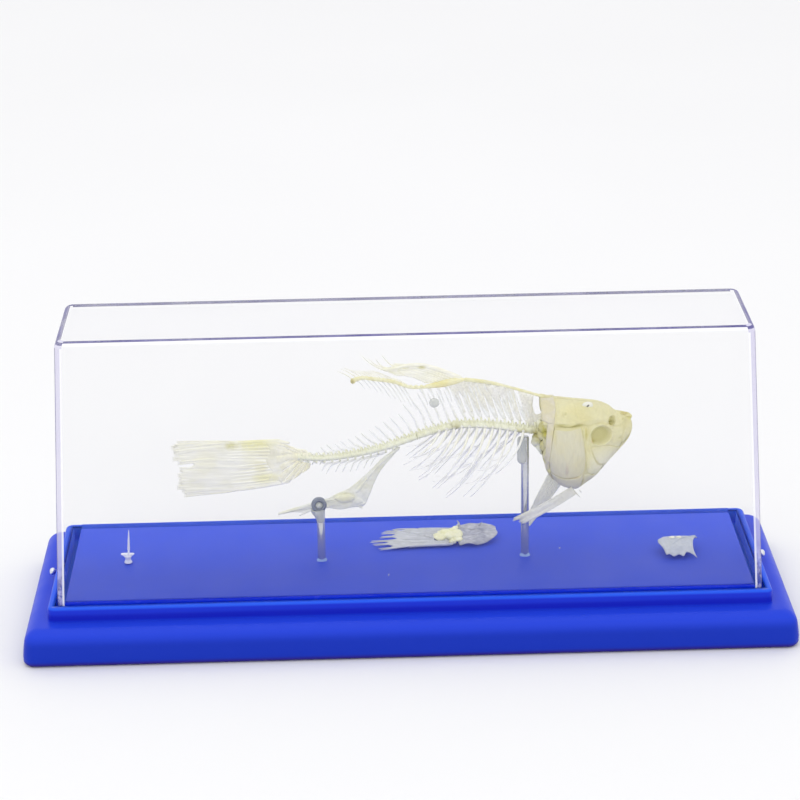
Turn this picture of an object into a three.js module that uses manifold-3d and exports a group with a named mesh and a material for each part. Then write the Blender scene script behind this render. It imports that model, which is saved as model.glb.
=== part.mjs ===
// A mounted fish skeleton: a small carp-like fish, its bones held on two rods over a moulded
// base, under a clear tapered case, with three loose bones lying beside it on the base.
// Millimetres, +Z up. The origin is at the middle of the underside of the base, +X runs towards
// the fish's head and +Y away from the side it is looked at from.
import * as THREE from 'three';
import { mergeVertices } from 'three/addons/utils/BufferGeometryUtils.js';
import Module from 'manifold-3d';

const wasm = await Module();
wasm.setup();

// Clearance between neighbouring pieces.
const GAP = 0.3;

// Base: a plinth with a softly rounded top edge, a raised rim, and a panel inside the rim.
const BASE_LENGTH = 300;
const BASE_DEPTH = 100;
const PLINTH_HEIGHT = 15;
const PLINTH_TOP_ROUND = 5;
const PLINTH_FOOT_ROUND = 1;
const PLINTH_CORNER = 3;
const RIM_HEIGHT = 20.8;
const RIM_WALL = 3;
const RIM_EDGE_ROUND = 1.2;
const RIM_CORNER = 1.6;
const PANEL_TOP = 21.4;
const PANEL_EDGE_ROUND = 0.5;
const PANEL_GROOVE = 3;
const PANEL_CORNER = 0.8;
const SMALLEST_CORNER = 0.2;

// Case: clear walls that lean in towards a flat lid with rounded edges.
const CASE_HALF_LENGTH_FOOT = 138;
const CASE_HALF_DEPTH_FOOT = 37.5;
const CASE_HALF_LENGTH_TOP = 134;
const CASE_HALF_DEPTH_TOP = 23.5;
const CASE_TOP = 124.5;
const CASE_SKIRT_TOP = 22;
const CASE_WALL = 2;
const CASE_CORNER = 3;
const CASE_EDGE_ROUND = 2.4;
// Share of the wall by which the inner corners and edges are tighter than the outer ones.
const CASE_INNER_TIGHTENING = 0.6;
const CORNER_STEPS = 2;

// Screws that hold the case through the ends of the rim.
const SCREW_HEIGHT = 18.2;
const SCREW_SHANK_RADIUS = 0.8;
const SCREW_NECK = 0.9;
const SCREW_HEAD_RADIUS = 1.5;
const SCREW_HEAD_LENGTH = 2.2;

// Rods that carry the fish, sunk into the panel.
const ROD_RADIUS = 1.6;
const ROD_SINK = 3.7;
const ROD_SIDES = 12;
const FRONT_ROD_X = 47.1;
const REAR_ROD_X = -34.8;
const SLEEVE_BOTTOM = 61.7;
const SLEEVE_TOP = 72.4;
const SLEEVE_RADIUS = 2.4;
const SLEEVE_SHIFT = -0.35;
const BEAD_HEIGHT = 45.7;
const BEAD_RADIUS = 3.2;

// Fish: all of it is laid out on its own mid-plane, which stands at FISH_Y.
const FISH_Y = -2.5;
const PLATE_THICKNESS = 0.9;

// Backbone, as [x, z] from the skull to the tail.
const BACKBONE = [
  [52.4, 75.6], [45, 76.4], [33, 78.2], [21, 78.5], [12, 76.8], [3.5, 74],
  [-9.3, 69.7], [-22, 67], [-35, 65.8], [-43.2, 66.6],
];
const VERTEBRAE = 32;
const TRUNK_VERTEBRAE = 16;
const CENTRUM_RADIUS_FRONT = 1.9;
const CENTRUM_RADIUS_REAR = 1.3;
const CENTRUM_WAIST = 0.8;
const TRUNK_CENTRUM_SIDES = 6;
const TAIL_CENTRUM_SIDES = 5;
const SPINE_HALF_THICKNESS = 0.42;
// Middle strip of the trunk vertebrae, between the flanks that carry the ribs, and the space in
// which the vertebrae are split that way.
const CORE_HALF_WIDTH = 0.68;
const TRUNK_SPACE = { rear: -10, front: 60, low: 60, high: 90 };
// How far along the backbone the parts of a vertebra grow from it, counted in vertebrae.
const SPINE_OFFSET = 0.45;
const SUPPORT_OFFSET = 0.95;
// First vertebra whose spine is slender, first past the fin's front, and the last that bear none.
const FIRST_SLENDER_SPINE = 9;
const FIRST_TAIL_SPINE = 14;
const SPINELESS_END = 4;
const FIRST_HAEMAL = TRUNK_VERTEBRAE + 3;
// Length of the bones that hang from the nape and the fin between the spines.
const HANGING_LENGTH = 7;

// Plates of the first vertebrae: a thin web down to the shoulder girdle, the thick lump that
// it ends in, and the broad first spine.
const SHOULDER_WEB = [[49.8, 75], [52.4, 75], [53.4, 73], [53.6, 70], [50, 70.6]];
const SHOULDER_LUMP = [[50, 73.3], [53.4, 73.3], [54.2, 69.6], [54.4, 64.4], [51.8, 68.4], [49.6, 69.2]];
const SHOULDER_LUMP_THICKNESS = 2.8;
const FIRST_SPINE = [[51.3, 76.6], [47.6, 77], [46.4, 83.6], [45.4, 90], [50.7, 88.3], [50.3, 83]];

// Line of the nape and of the foot of the dorsal fin, as [x, z].
const NAPE_LINE = [[52.2, 90.3], [41.5, 93.7], [32.5, 96.2], [23.2, 97.6]];
const DORSAL_FOOT = [
  [22.6, 97.4], [13.6, 95.8], [7.7, 95], [1.7, 95.1], [-4.3, 97.4], [-11.5, 98.6],
  [-17.5, 99.2], [-20.9, 98.4],
];

const DORSAL_FOOT_HALF_HEIGHT = [[0, 1.2], [0.4, 1.35], [0.5, 0.9], [1, 0.95]];

// How the spines of the vertebrae lean, in degrees, by their place along the backbone.
const SPINE_LEAN = [[0, 72], [0.42, 66], [0.55, 54], [0.7, 44], [1, 36]];
const TAIL_SPINE_LENGTH = [[0.45, 15], [0.5, 12], [0.6, 9.5], [0.75, 7], [1, 4.6]];
const HAEMAL_LEAN = [[0.5, 58], [0.7, 54], [1, 50]];
const HAEMAL_LENGTH = [[0.5, 11], [0.75, 9], [1, 6]];

// Ribs.
const RIB_PAIRS = 12;
const RIB_RADIUS = 0.44;
const RIB_SIDES = 3;
const RIB_STEPS = 3;
const RIB_ROOT = 1.5;
const RIB_DROP = [[0, 15], [0.3, 27], [0.65, 23], [1, 13]];
const RIB_SWEEP_BEND = 1.45;
const RIB_SWEEP = [[0, 13], [0.4, 17], [1, 14]];
const RIB_BULGE = [[0, 8], [0.4, 9.5], [1, 5]];

// Head, by x from the back of the gill covers to the tip of the snout: heights of the top and
// bottom outlines and the half width.
const HEAD_TOP = [
  [54.6, 88.6], [58, 89], [65, 88.2], [75.5, 87], [79.9, 85.3], [83, 82.9], [87, 82.1],
  [88.6, 80.3], [89.7, 77.8],
];
const HEAD_BOTTOM = [
  [54.6, 63], [56, 58], [59.5, 53.2], [63.1, 50.8], [67.3, 50], [71.1, 52.4], [75.1, 55.4],
  [79.8, 61], [84.9, 67.1], [88.2, 71.4], [89.7, 75.8],
];
const HEAD_HALF_WIDTH = [
  [54.6, 8.7], [58, 9.5], [64, 9.7], [70, 8.9], [76, 7.5], [82, 5.4], [86, 4.2], [88.6, 2.8],
  [89.7, 1.1],
];
const HEAD_STATIONS = [54.6, 56.4, 59.6, 63.2, 67.3, 71.1, 75.3, 79.8, 83, 87, 89.7];
const HEAD_AROUND = 12;
const HEAD_ROOF_POWER = 0.72;
const HEAD_THROAT_POWER = 1.2;
const HEAD_PLATE = 1.2;
// How far the outlines of the bones of the head are cut across it.
const CUT_WIDTH = 40;
const ORBIT = { x: 76.6, z: 75.3, length: 4.1, height: 3.7, depth: 2.3 };
const NOSTRIL = { x: 81.1, z: 80.4, length: 1.5, height: 1.9, depth: 1.5 };

// Bones of the cheek and gill cover, as outlines in [x, z] that run past the edge of the head.
const OPERCLE_OUTLINE = [
  [57.2, 79.6], [63.5, 78.8], [68.6, 79.8], [69.6, 71], [70.8, 63.5], [70, 57.5], [66.8, 46],
  [56.2, 46], [55.6, 60.5], [56.4, 70],
];
const PREOPERCLE_OUTLINE = [
  [68.6, 79.8], [71.2, 79.4], [71.8, 72], [73.8, 66], [78.6, 61.8], [75, 53], [66.8, 46],
  [70, 57.5], [70.8, 63.5], [69.6, 71],
];
const CHEEK_OUTLINE = [
  [72.2, 71], [73.8, 66], [78.6, 61.8], [82, 64.6], [84.4, 68.8], [80.6, 70.2], [76.6, 70.8],
];
const LOWER_JAW_OUTLINE = [
  [78.6, 61.8], [82, 64.6], [86, 70.4], [92, 76], [94, 72], [86, 60], [76, 51], [75, 53],
];
const UPPER_JAW_OUTLINE = [
  [86.4, 79.6], [88, 81.4], [92, 81], [92, 76], [86, 70.4], [84.8, 72.8],
];
const CLEITHRUM_OUTLINE = [
  [52, 86.5], [58.2, 86.8], [57.2, 79.6], [56.4, 70], [55.6, 60.5], [56.2, 46], [52, 46],
];

// Fan-shaped end plate of the backbone, forked over and under the last vertebrae.
const END_PLATE = [
  [-39, 69.6], [-44.2, 70.2], [-49.3, 72.5], [-52, 73.7], [-52, 55.6], [-47.6, 55.2],
  [-45.4, 56.9], [-38, 61.6], [-37.6, 63.8], [-43.9, 64.8], [-43.9, 68.2], [-39, 68.2],
];

// Tail fin, fanned from the end plate of the backbone.
const TAIL_ROOT_X = -52.4;
const TAIL_ROOT_TOP = 73.9;
const TAIL_ROOT_BOTTOM = 55.3;
const TAIL_TIP_TOP = 73.4;
const TAIL_TIP_BOTTOM = 51.3;
const TAIL_TIP_X = [[0, -92.6], [0.2, -93.8], [0.42, -91.6], [0.5, -90.6], [0.62, -91.8], [1, -89.8]];
const TAIL_RAYS_PER_LOBE = 8;

// Anal fin with the strut it hangs from, as the upper and lower edges of its outline.
const ANAL_UPPER_EDGE = [
  [-3.4, 70], [-6.6, 67.4], [-9.8, 65], [-13.8, 60.8], [-18.7, 56.1], [-23.3, 52.4],
  [-28.5, 50.1], [-31.8, 48.2], [-38.6, 46.4], [-51.6, 42.4],
];
const ANAL_LOWER_EDGE = [
  [-51.7, 41.7], [-41, 43.6], [-38, 44.1], [-32, 44.2], [-26.7, 43.4], [-21.6, 44.3],
  [-18.7, 42.3], [-17.7, 44.6], [-15.1, 49.1], [-13, 54.5], [-9.9, 60.4], [-6.8, 64.2],
  [-2.4, 69.6],
];

// Materials.
const bone = { color: 0xe6dfba, roughness: 0.62, metalness: 0 };
const yellowBone = { color: 0xdccf86, roughness: 0.6, metalness: 0 };
const paleBone = { color: 0xe9e7dc, roughness: 0.6, metalness: 0 };
const blueMoulding = { color: 0x1f3cc4, roughness: 0.38, metalness: 0 };
const bluePanel = { color: 0x4a5ad2, roughness: 0.55, metalness: 0 };
const clearPlastic = { color: 0xf2f4ff, roughness: 0.08, metalness: 0, opacity: 0.25, transparent: true };
const steel = { color: 0xa9adb2, roughness: 0.25, metalness: 1 };
const glue = { color: 0x9aa09c, roughness: 0.2, metalness: 0, opacity: 0.7, transparent: true };

const model = new THREE.Group();
const fish = new THREE.Group();
fish.position.set(0, FISH_Y, 0);
model.add(fish);

/** A point. */
function at(x, y, z) {
  return new THREE.Vector3(x, y, z);
}

/** Value of a piecewise straight curve of [place, value] stops, held flat past its ends. */
function ramp(stops, place) {
  const ordered = [...stops].sort((a, b) => a[0] - b[0]);
  if (place <= ordered[0][0]) {
    return ordered[0][1];
  }
  for (let i = 1; i < ordered.length; i += 1) {
    const [x1, v1] = ordered[i];
    const [x0, v0] = ordered[i - 1];
    if (place <= x1) {
      return THREE.MathUtils.lerp(v0, v1, (place - x0) / (x1 - x0));
    }
  }
  return ordered[ordered.length - 1][1];
}

/** Geometry of points and triangles, turned so that its faces point out. */
function closedGeometry(points, triangles) {
  let volume = 0;
  for (let i = 0; i < triangles.length; i += 3) {
    const [a, b, c] = [points[triangles[i]], points[triangles[i + 1]], points[triangles[i + 2]]];
    volume += a.dot(new THREE.Vector3().crossVectors(b, c));
  }
  if (volume < 0) {
    triangles.reverse();
  }
  const geometry = new THREE.BufferGeometry();
  geometry.setFromPoints(points);
  geometry.setIndex(triangles);
  return geometry;
}

/** Skin over a row of rings with the same number of points, closed by a fan at each end. */
function loft(rings) {
  const around = rings[0].length;
  const triangles = [];
  for (let i = 0; i + 1 < rings.length; i += 1) {
    for (let j = 0; j < around; j += 1) {
      const here = i * around + j;
      const beside = i * around + ((j + 1) % around);
      triangles.push(here, beside, beside + around, here, beside + around, here + around);
    }
  }
  const last = (rings.length - 1) * around;
  for (let j = 1; j + 1 < around; j += 1) {
    triangles.push(0, j + 1, j, last, last + j, last + j + 1);
  }
  return closedGeometry(rings.flat(), triangles);
}

/** Solid of a closed geometry. */
function solid(geometry) {
  const bare = geometry.clone();
  bare.deleteAttribute('normal');
  bare.deleteAttribute('uv');
  const merged = mergeVertices(bare, 1e-4);
  return new wasm.Manifold(new wasm.Mesh({
    numProp: 3,
    vertProperties: merged.getAttribute('position').array,
    triVerts: new Uint32Array(merged.getIndex().array),
  }));
}

/** Geometry of a solid. */
function geometryOf(shape) {
  const mesh = shape.getMesh();
  const geometry = new THREE.BufferGeometry();
  geometry.setAttribute('position', new THREE.BufferAttribute(mesh.vertProperties, 3));
  geometry.setIndex(new THREE.BufferAttribute(mesh.triVerts, 1));
  geometry.computeVertexNormals();
  return geometry;
}

/** All the solids of a list as one. */
function join(shapes) {
  return shapes.reduce((whole, shape) => whole.add(shape));
}

/** The largest separate body of a solid, without the crumbs that a cut leaves. */
function mainBody(shape) {
  const bodies = shape.decompose();
  return bodies.reduce((best, body) => (body.volume() > best.volume() ? body : best));
}

/** Adds a named sub-part to a group. */
function part(group, name, shape, finish) {
  const geometry = shape.isBufferGeometry ? shape : geometryOf(shape);
  const mesh = new THREE.Mesh(geometry, new THREE.MeshStandardMaterial(finish));
  mesh.name = name;
  group.add(mesh);
  return mesh;
}

/** Ring of a rounded rectangle at one height. */
function roundedRing(halfLength, halfDepth, corner, z) {
  const ring = [];
  const quarters = [[1, 1], [-1, 1], [-1, -1], [1, -1]];
  quarters.forEach(([sx, sy], quarter) => {
    for (let i = 0; i <= CORNER_STEPS; i += 1) {
      const angle = (quarter + i / CORNER_STEPS) * Math.PI / 2;
      const x = sx * (halfLength - corner) + corner * Math.cos(angle);
      const y = sy * (halfDepth - corner) + corner * Math.sin(angle);
      ring.push(at(x, y, z));
    }
  });
  return ring;
}

/** Slab of rounded plan with its foot and top edges rounded over. */
function slab(halfLength, halfDepth, corner, bottom, top, footRound, topRound) {
  const rings = [];
  const inset = (drop, z) => {
    const round = Math.max(corner - drop, SMALLEST_CORNER);
    rings.push(roundedRing(halfLength - drop, halfDepth - drop, round, z));
  };
  if (footRound > 0) {
    inset(footRound, bottom);
  }
  inset(0, bottom + footRound);
  const steps = topRound > 2 ? 3 : 2;
  for (let i = 0; i <= steps && topRound > 0; i += 1) {
    const angle = i / steps * Math.PI / 2;
    inset(topRound * (1 - Math.cos(angle)), top - topRound + topRound * Math.sin(angle));
  }
  if (topRound === 0) {
    inset(0, top);
  }
  return loft(rings);
}

/** Flat plate of an outline in [x, z], of a thickness across y, centred on y. */
function plate(outline, thickness, y = 0) {
  const shape = new THREE.Shape(outline.map(([x, z]) => new THREE.Vector2(x, z)));
  const geometry = new THREE.ExtrudeGeometry(shape, { depth: thickness, bevelEnabled: false });
  geometry.rotateX(Math.PI / 2);
  geometry.translate(0, y + thickness / 2, 0);
  return solid(geometry);
}

/** Ring across a bone that runs along a tangent, tall by high and thick by wide. */
function boneRing(centre, tangent, sides, high, wide) {
  const side = at(0, 1, 0).addScaledVector(tangent, -tangent.y).normalize();
  const up = new THREE.Vector3().crossVectors(tangent, side);
  const ring = [];
  for (let j = 0; j < sides; j += 1) {
    const angle = (j + 0.5) / sides * Math.PI * 2;
    const point = centre.clone().addScaledVector(up, high * Math.cos(angle));
    ring.push(point.addScaledVector(side, wide * Math.sin(angle)));
  }
  return ring;
}

/** Slender tapering bone along a smooth line; size(t) gives its two half sizes. */
function slenderBone(points, steps, sides, size) {
  const curve = new THREE.CatmullRomCurve3(points);
  const rings = [];
  for (let i = 0; i <= steps; i += 1) {
    const t = i / steps;
    const [high, wide] = size(t);
    rings.push(boneRing(curve.getPoint(t), curve.getTangent(t), sides, high, wide));
  }
  return solid(loft(rings));
}

/** Straight flat spike from a root to a tip, of a half height at each. */
function straightSpike(root, tip, rootHalf, tipHalf = 0.36) {
  return slenderBone([root, tip], 1, 4, (t) => [
    THREE.MathUtils.lerp(rootHalf, tipHalf, t), SPINE_HALF_THICKNESS * Math.SQRT2,
  ]);
}

/**
 * Fin of rays joined by a thinner web. root(t) and tip(t) give the two ends of the fin from its
 * first ray to its last, arch(t) bows it, and the web stops short of the tips of the rays.
 */
function rayFan({ rays, root, tip, normal, rayHalf, webHalf, notch, steps, arch }) {
  const columns = 2 * rays + 1;
  const sheets = [1, -1].map((side) => {
    const rows = [];
    for (let i = 0; i < columns; i += 1) {
      const t = i / (columns - 1);
      const isRay = i % 2 === 1;
      for (let s = 0; s <= steps; s += 1) {
        const reach = (s / steps) * (isRay ? 1 : 1 - notch);
        const half = isRay ? rayHalf * (1 - 0.35 * reach) : webHalf;
        const point = new THREE.Vector3().lerpVectors(root(t), tip(t), reach);
        point.addScaledVector(normal, side * half);
        point.addScaledVector(arch(t), Math.sin(Math.PI * reach));
        rows.push(point);
      }
    }
    return rows;
  });
  const points = sheets.flat();
  const row = steps + 1;
  const under = sheets[0].length;
  const triangles = [];
  const quad = (a, b, c, d) => triangles.push(a, b, c, a, c, d);
  for (let i = 0; i + 1 < columns; i += 1) {
    for (let s = 0; s < steps; s += 1) {
      const a = i * row + s;
      const b = (i + 1) * row + s;
      quad(a, b, b + 1, a + 1);
      quad(under + a, under + a + 1, under + b + 1, under + b);
    }
    const [rootA, rootB] = [i * row, (i + 1) * row];
    const [tipA, tipB] = [rootA + steps, rootB + steps];
    quad(rootA, under + rootA, under + rootB, rootB);
    quad(tipA, tipB, under + tipB, under + tipA);
  }
  const last = (columns - 1) * row;
  for (let s = 0; s < steps; s += 1) {
    quad(s, s + 1, under + s + 1, under + s);
    quad(last + s, under + last + s, under + last + s + 1, last + s + 1);
  }
  return solid(closedGeometry(points, triangles));
}

/** Ellipsoid. */
function ellipsoid(x, y, z, rx, ry, rz, around = 14, high = 8) {
  const geometry = new THREE.SphereGeometry(1, around, high);
  geometry.scale(rx, ry, rz);
  geometry.translate(x, y, z);
  return solid(geometry);
}

/** Block between two corners. */
function block(x0, x1, y0, y1, z0, z1) {
  const geometry = new THREE.BoxGeometry(x1 - x0, y1 - y0, z1 - z0);
  geometry.translate((x0 + x1) / 2, (y0 + y1) / 2, (z0 + z1) / 2);
  return solid(geometry);
}

/** Upright round bar. */
function upright(x, y, radius, bottom, top, sides = ROD_SIDES) {
  const geometry = new THREE.CylinderGeometry(radius, radius, top - bottom, sides);
  geometry.rotateX(Math.PI / 2);
  geometry.translate(x, y, (bottom + top) / 2);
  return solid(geometry);
}

/** Outline moved outwards, or inwards where the distance is negative. */
function offsetOutline(outline, distance) {
  const area = outline.reduce((sum, [x, z], i) => {
    const [nextX, nextZ] = outline[(i + 1) % outline.length];
    return sum + x * nextZ - nextX * z;
  }, 0);
  const outward = Math.sign(area);
  return outline.map(([x, z], i) => {
    const [px, pz] = outline[(i + outline.length - 1) % outline.length];
    const [nx, nz] = outline[(i + 1) % outline.length];
    const before = new THREE.Vector2(x - px, z - pz).normalize();
    const after = new THREE.Vector2(nx - x, nz - z).normalize();
    const mitre = new THREE.Vector2(before.y + after.y, -before.x - after.x);
    const stretch = outward * distance * 2 / mitre.lengthSq();
    return [x + mitre.x * stretch, z + mitre.y * stretch];
  });
}

// ---------------------------------------------------------------------------- base and case

/** Screw that lies along x, with its ball-shaped head outwards on a short neck. */
function screwSolid(side, shankRadius, headRadius, inner, outer) {
  const profile = [
    [0, inner], [shankRadius, inner], [shankRadius, outer + SCREW_NECK],
    [headRadius, outer + SCREW_NECK + SCREW_HEAD_LENGTH * 0.3],
    [headRadius * 0.9, outer + SCREW_NECK + SCREW_HEAD_LENGTH * 0.7],
    [0, outer + SCREW_NECK + SCREW_HEAD_LENGTH],
  ];
  const geometry = new THREE.LatheGeometry(profile.map(([r, h]) => new THREE.Vector2(r, h)), 8);
  geometry.rotateZ(-side * Math.PI / 2);
  geometry.translate(0, 0, SCREW_HEIGHT);
  return solid(geometry);
}

function buildBase() {
  const rimHalfLength = CASE_HALF_LENGTH_FOOT + GAP + RIM_WALL;
  const rimHalfDepth = CASE_HALF_DEPTH_FOOT + GAP + RIM_WALL;
  const plinth = solid(slab(BASE_LENGTH / 2, BASE_DEPTH / 2, PLINTH_CORNER, 0, PLINTH_HEIGHT,
    PLINTH_FOOT_ROUND, PLINTH_TOP_ROUND));
  const rim = solid(slab(rimHalfLength, rimHalfDepth, RIM_CORNER,
    PLINTH_HEIGHT - 1, RIM_HEIGHT, 0, RIM_EDGE_ROUND));
  const groove = solid(slab(rimHalfLength - RIM_WALL, rimHalfDepth - RIM_WALL,
    RIM_CORNER, PLINTH_HEIGHT, RIM_HEIGHT + 2, 0, 0));
  const screwHole = SCREW_SHANK_RADIUS + GAP;
  const holes = [-1, 1].map((side) => screwSolid(side, screwHole, screwHole,
    rimHalfLength - RIM_WALL - 1, rimHalfLength + 1));
  const plinthAndRim = plinth.add(rim).subtract(groove).subtract(join(holes));
  part(model, 'base_plinth', plinthAndRim, blueMoulding);

  const panelHalfLength = CASE_HALF_LENGTH_FOOT - PANEL_GROOVE;
  const panelHalfDepth = CASE_HALF_DEPTH_FOOT - PANEL_GROOVE;
  const panel = solid(slab(panelHalfLength, panelHalfDepth, PANEL_CORNER,
    PLINTH_HEIGHT + GAP, PANEL_TOP, 0, PANEL_EDGE_ROUND));
  const sockets = [FRONT_ROD_X, REAR_ROD_X].map((x) => upright(x, FISH_Y, ROD_RADIUS + GAP,
    PANEL_TOP - ROD_SINK - GAP, PANEL_TOP + 1));
  part(model, 'base_panel', panel.subtract(join(sockets)), bluePanel);

  for (const [side, name] of [[-1, 'case_screw_left'], [1, 'case_screw_right']]) {
    const screw = screwSolid(side, SCREW_SHANK_RADIUS, SCREW_HEAD_RADIUS,
      rimHalfLength - RIM_WALL, rimHalfLength + GAP);
    part(model, name, screw, steel);
  }
}

/** Outer or inner skin of the case, drawn in by the thickness of its wall. */
function caseSkin(wall, bottom) {
  const top = CASE_TOP - wall;
  const round = CASE_EDGE_ROUND - wall * CASE_INNER_TIGHTENING;
  const corner = CASE_CORNER - wall * CASE_INNER_TIGHTENING;
  const lean = (foot, head, z) => {
    const rise = (z - CASE_SKIRT_TOP) / (CASE_TOP - CASE_SKIRT_TOP);
    return THREE.MathUtils.lerp(foot, head, Math.max(rise, 0)) - wall;
  };
  const ring = (z, drop) => roundedRing(
    lean(CASE_HALF_LENGTH_FOOT, CASE_HALF_LENGTH_TOP, z) - drop,
    lean(CASE_HALF_DEPTH_FOOT, CASE_HALF_DEPTH_TOP, z) - drop,
    Math.max(corner, drop + SMALLEST_CORNER), z);
  const rings = [ring(bottom, 0), ring(CASE_SKIRT_TOP, 0)];
  const steps = 3;
  for (let i = 0; i <= steps; i += 1) {
    const angle = i / steps * Math.PI / 2;
    rings.push(ring(top - round + round * Math.sin(angle), round * (1 - Math.cos(angle))));
  }
  return solid(loft(rings));
}

function buildCase() {
  const foot = PLINTH_HEIGHT + GAP;
  const shell = caseSkin(0, foot).subtract(caseSkin(CASE_WALL, foot - 1));
  part(model, 'display_case', shell, clearPlastic);
}

function buildRods(analFin) {
  const rodFoot = PANEL_TOP - ROD_SINK;
  const backboneBottom = backbonePoint(backbonePlace(FRONT_ROD_X)).z - CENTRUM_RADIUS_FRONT;
  const frontTop = backboneBottom - GAP;
  part(model, 'rod_front', upright(FRONT_ROD_X, FISH_Y, ROD_RADIUS, rodFoot, frontTop), steel);
  const sleeve = upright(FRONT_ROD_X + SLEEVE_SHIFT, FISH_Y, SLEEVE_RADIUS, SLEEVE_BOTTOM,
    SLEEVE_TOP, 12);
  const bore = upright(FRONT_ROD_X, FISH_Y, ROD_RADIUS + GAP, SLEEVE_BOTTOM - 1, SLEEVE_TOP + 1);
  part(model, 'rod_front_sleeve', mainBody(sleeve.subtract(bore)), glue);

  const rearTop = BEAD_HEIGHT - BEAD_RADIUS - 1.2;
  part(model, 'rod_rear', upright(REAR_ROD_X, FISH_Y, ROD_RADIUS, rodFoot, rearTop), steel);
  const bead = ellipsoid(REAR_ROD_X - 0.5, FISH_Y, BEAD_HEIGHT,
    BEAD_RADIUS, BEAD_RADIUS, BEAD_RADIUS, 8, 5);
  const drip = solid(new THREE.CylinderGeometry(2.6, 1.5, 2.6, 8).rotateX(Math.PI / 2)
    .translate(REAR_ROD_X - 0.2, FISH_Y, rearTop + GAP + 1.3));
  const held = analFin.translate([0, FISH_Y, 0]);
  part(model, 'rod_rear_bead', mainBody(bead.add(drip).subtract(held)), glue);
}

// ---------------------------------------------------------------------------- backbone

const backboneCurve = new THREE.CatmullRomCurve3(BACKBONE.map(([x, z]) => at(x, 0, z)));
const backboneLength = backboneCurve.getLength();

/** Point of the backbone, by its share of the length from the skull. */
function backbonePoint(place) {
  return backboneCurve.getPointAt(THREE.MathUtils.clamp(place, 0, 1));
}

/** Share of the backbone's length at which it passes an x. */
function backbonePlace(x) {
  let place = 0;
  while (place < 1 && backbonePoint(place).x > x) {
    place += 0.002;
  }
  return place;
}

/** Radius of the vertebrae at a place. */
function centrumRadius(place) {
  return THREE.MathUtils.lerp(CENTRUM_RADIUS_FRONT, CENTRUM_RADIUS_REAR, place);
}

/** Row of waisted vertebrae from one to another. */
function centra(first, last, startGap, sides) {
  const rings = [];
  for (let i = 2 * first; i <= 2 * last; i += 1) {
    const shift = i === 2 * first ? startGap / backboneLength : 0;
    const place = i / (2 * VERTEBRAE) + shift;
    const radius = centrumRadius(place) * (i % 2 === 0 ? 1 : CENTRUM_WAIST);
    const tangent = backboneCurve.getTangentAt(Math.min(place, 1));
    rings.push(boneRing(backbonePoint(place), tangent, sides, radius, radius));
  }
  return solid(loft(rings));
}

/** Height of the nape and of the foot of the dorsal fin at an x. */
function dorsalLine(x) {
  return ramp([...NAPE_LINE, ...DORSAL_FOOT], x);
}

/** Direction of the spine that rises from a vertebra. */
function spineDirection(place) {
  const lean = THREE.MathUtils.degToRad(ramp(SPINE_LEAN, place));
  return at(-Math.cos(lean), 0, Math.sin(lean));
}

/** Distance along a direction to the line of the nape or fin foot. */
function reachToDorsalLine(start, direction) {
  let reach = 0;
  while (start.z + direction.z * reach < dorsalLine(start.x + direction.x * reach)) {
    reach += 0.05;
  }
  return reach;
}

/** Spine of one vertebra: broad near the head, slender further back. */
function neuralSpine(index) {
  const place = (index + SPINE_OFFSET) / VERTEBRAE;
  const start = backbonePoint(place).addScaledVector(at(0, 0, 1), centrumRadius(place) * 0.4);
  const direction = spineDirection(place);
  const broad = index < FIRST_SLENDER_SPINE;
  const underFin = index < FIRST_TAIL_SPINE;
  const spare = broad ? 2.4 : 2.8;
  const full = underFin ? reachToDorsalLine(start, direction) - spare : 0;
  const length = underFin ? full : ramp(TAIL_SPINE_LENGTH, place);
  const tip = start.clone().addScaledVector(direction, length);
  return straightSpike(start, tip, broad ? 1.1 : 0.8, broad ? 0.55 : 0.38);
}

/** Spine under one tail vertebra, cut short where it would meet the strut of the anal fin. */
function haemalSpine(index) {
  const place = (index + 0.5) / VERTEBRAE;
  const start = backbonePoint(place).addScaledVector(at(0, 0, -1), centrumRadius(place) * 0.4);
  const lean = THREE.MathUtils.degToRad(ramp(HAEMAL_LEAN, place));
  const direction = at(-Math.cos(lean), 0, -Math.sin(lean));
  let length = ramp(HAEMAL_LENGTH, place);
  const clear = () => {
    const tip = start.clone().addScaledVector(direction, length);
    return tip.z > ramp(ANAL_UPPER_EDGE, tip.x) + 1.5;
  };
  while (length > 2 && !clear()) {
    length -= 0.25;
  }
  return straightSpike(start, start.clone().addScaledVector(direction, length), 0.75);
}

/** One rib: out from the flank, down and back, round the body cavity. */
function rib(index, side) {
  const share = index / (RIB_PAIRS - 1);
  const place = (index + 2) / VERTEBRAE;
  const root = backbonePoint(place);
  const drop = ramp(RIB_DROP, share);
  const sweep = ramp(RIB_SWEEP, share);
  const bulge = ramp(RIB_BULGE, share);
  const along = (t) => at(
    root.x - sweep * t ** RIB_SWEEP_BEND,
    side * (RIB_ROOT + bulge * Math.sin(Math.PI * 0.62 * t) - bulge * 0.25 * t * t),
    root.z - 0.35 - drop * t,
  );
  const points = [0, 0.15, 0.4, 0.7, 1].map(along);
  return slenderBone(points, RIB_STEPS, RIB_SIDES, (t) => {
    const half = RIB_RADIUS * Math.SQRT2 * THREE.MathUtils.lerp(1.05, 0.62, t);
    return [half, half];
  });
}

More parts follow.
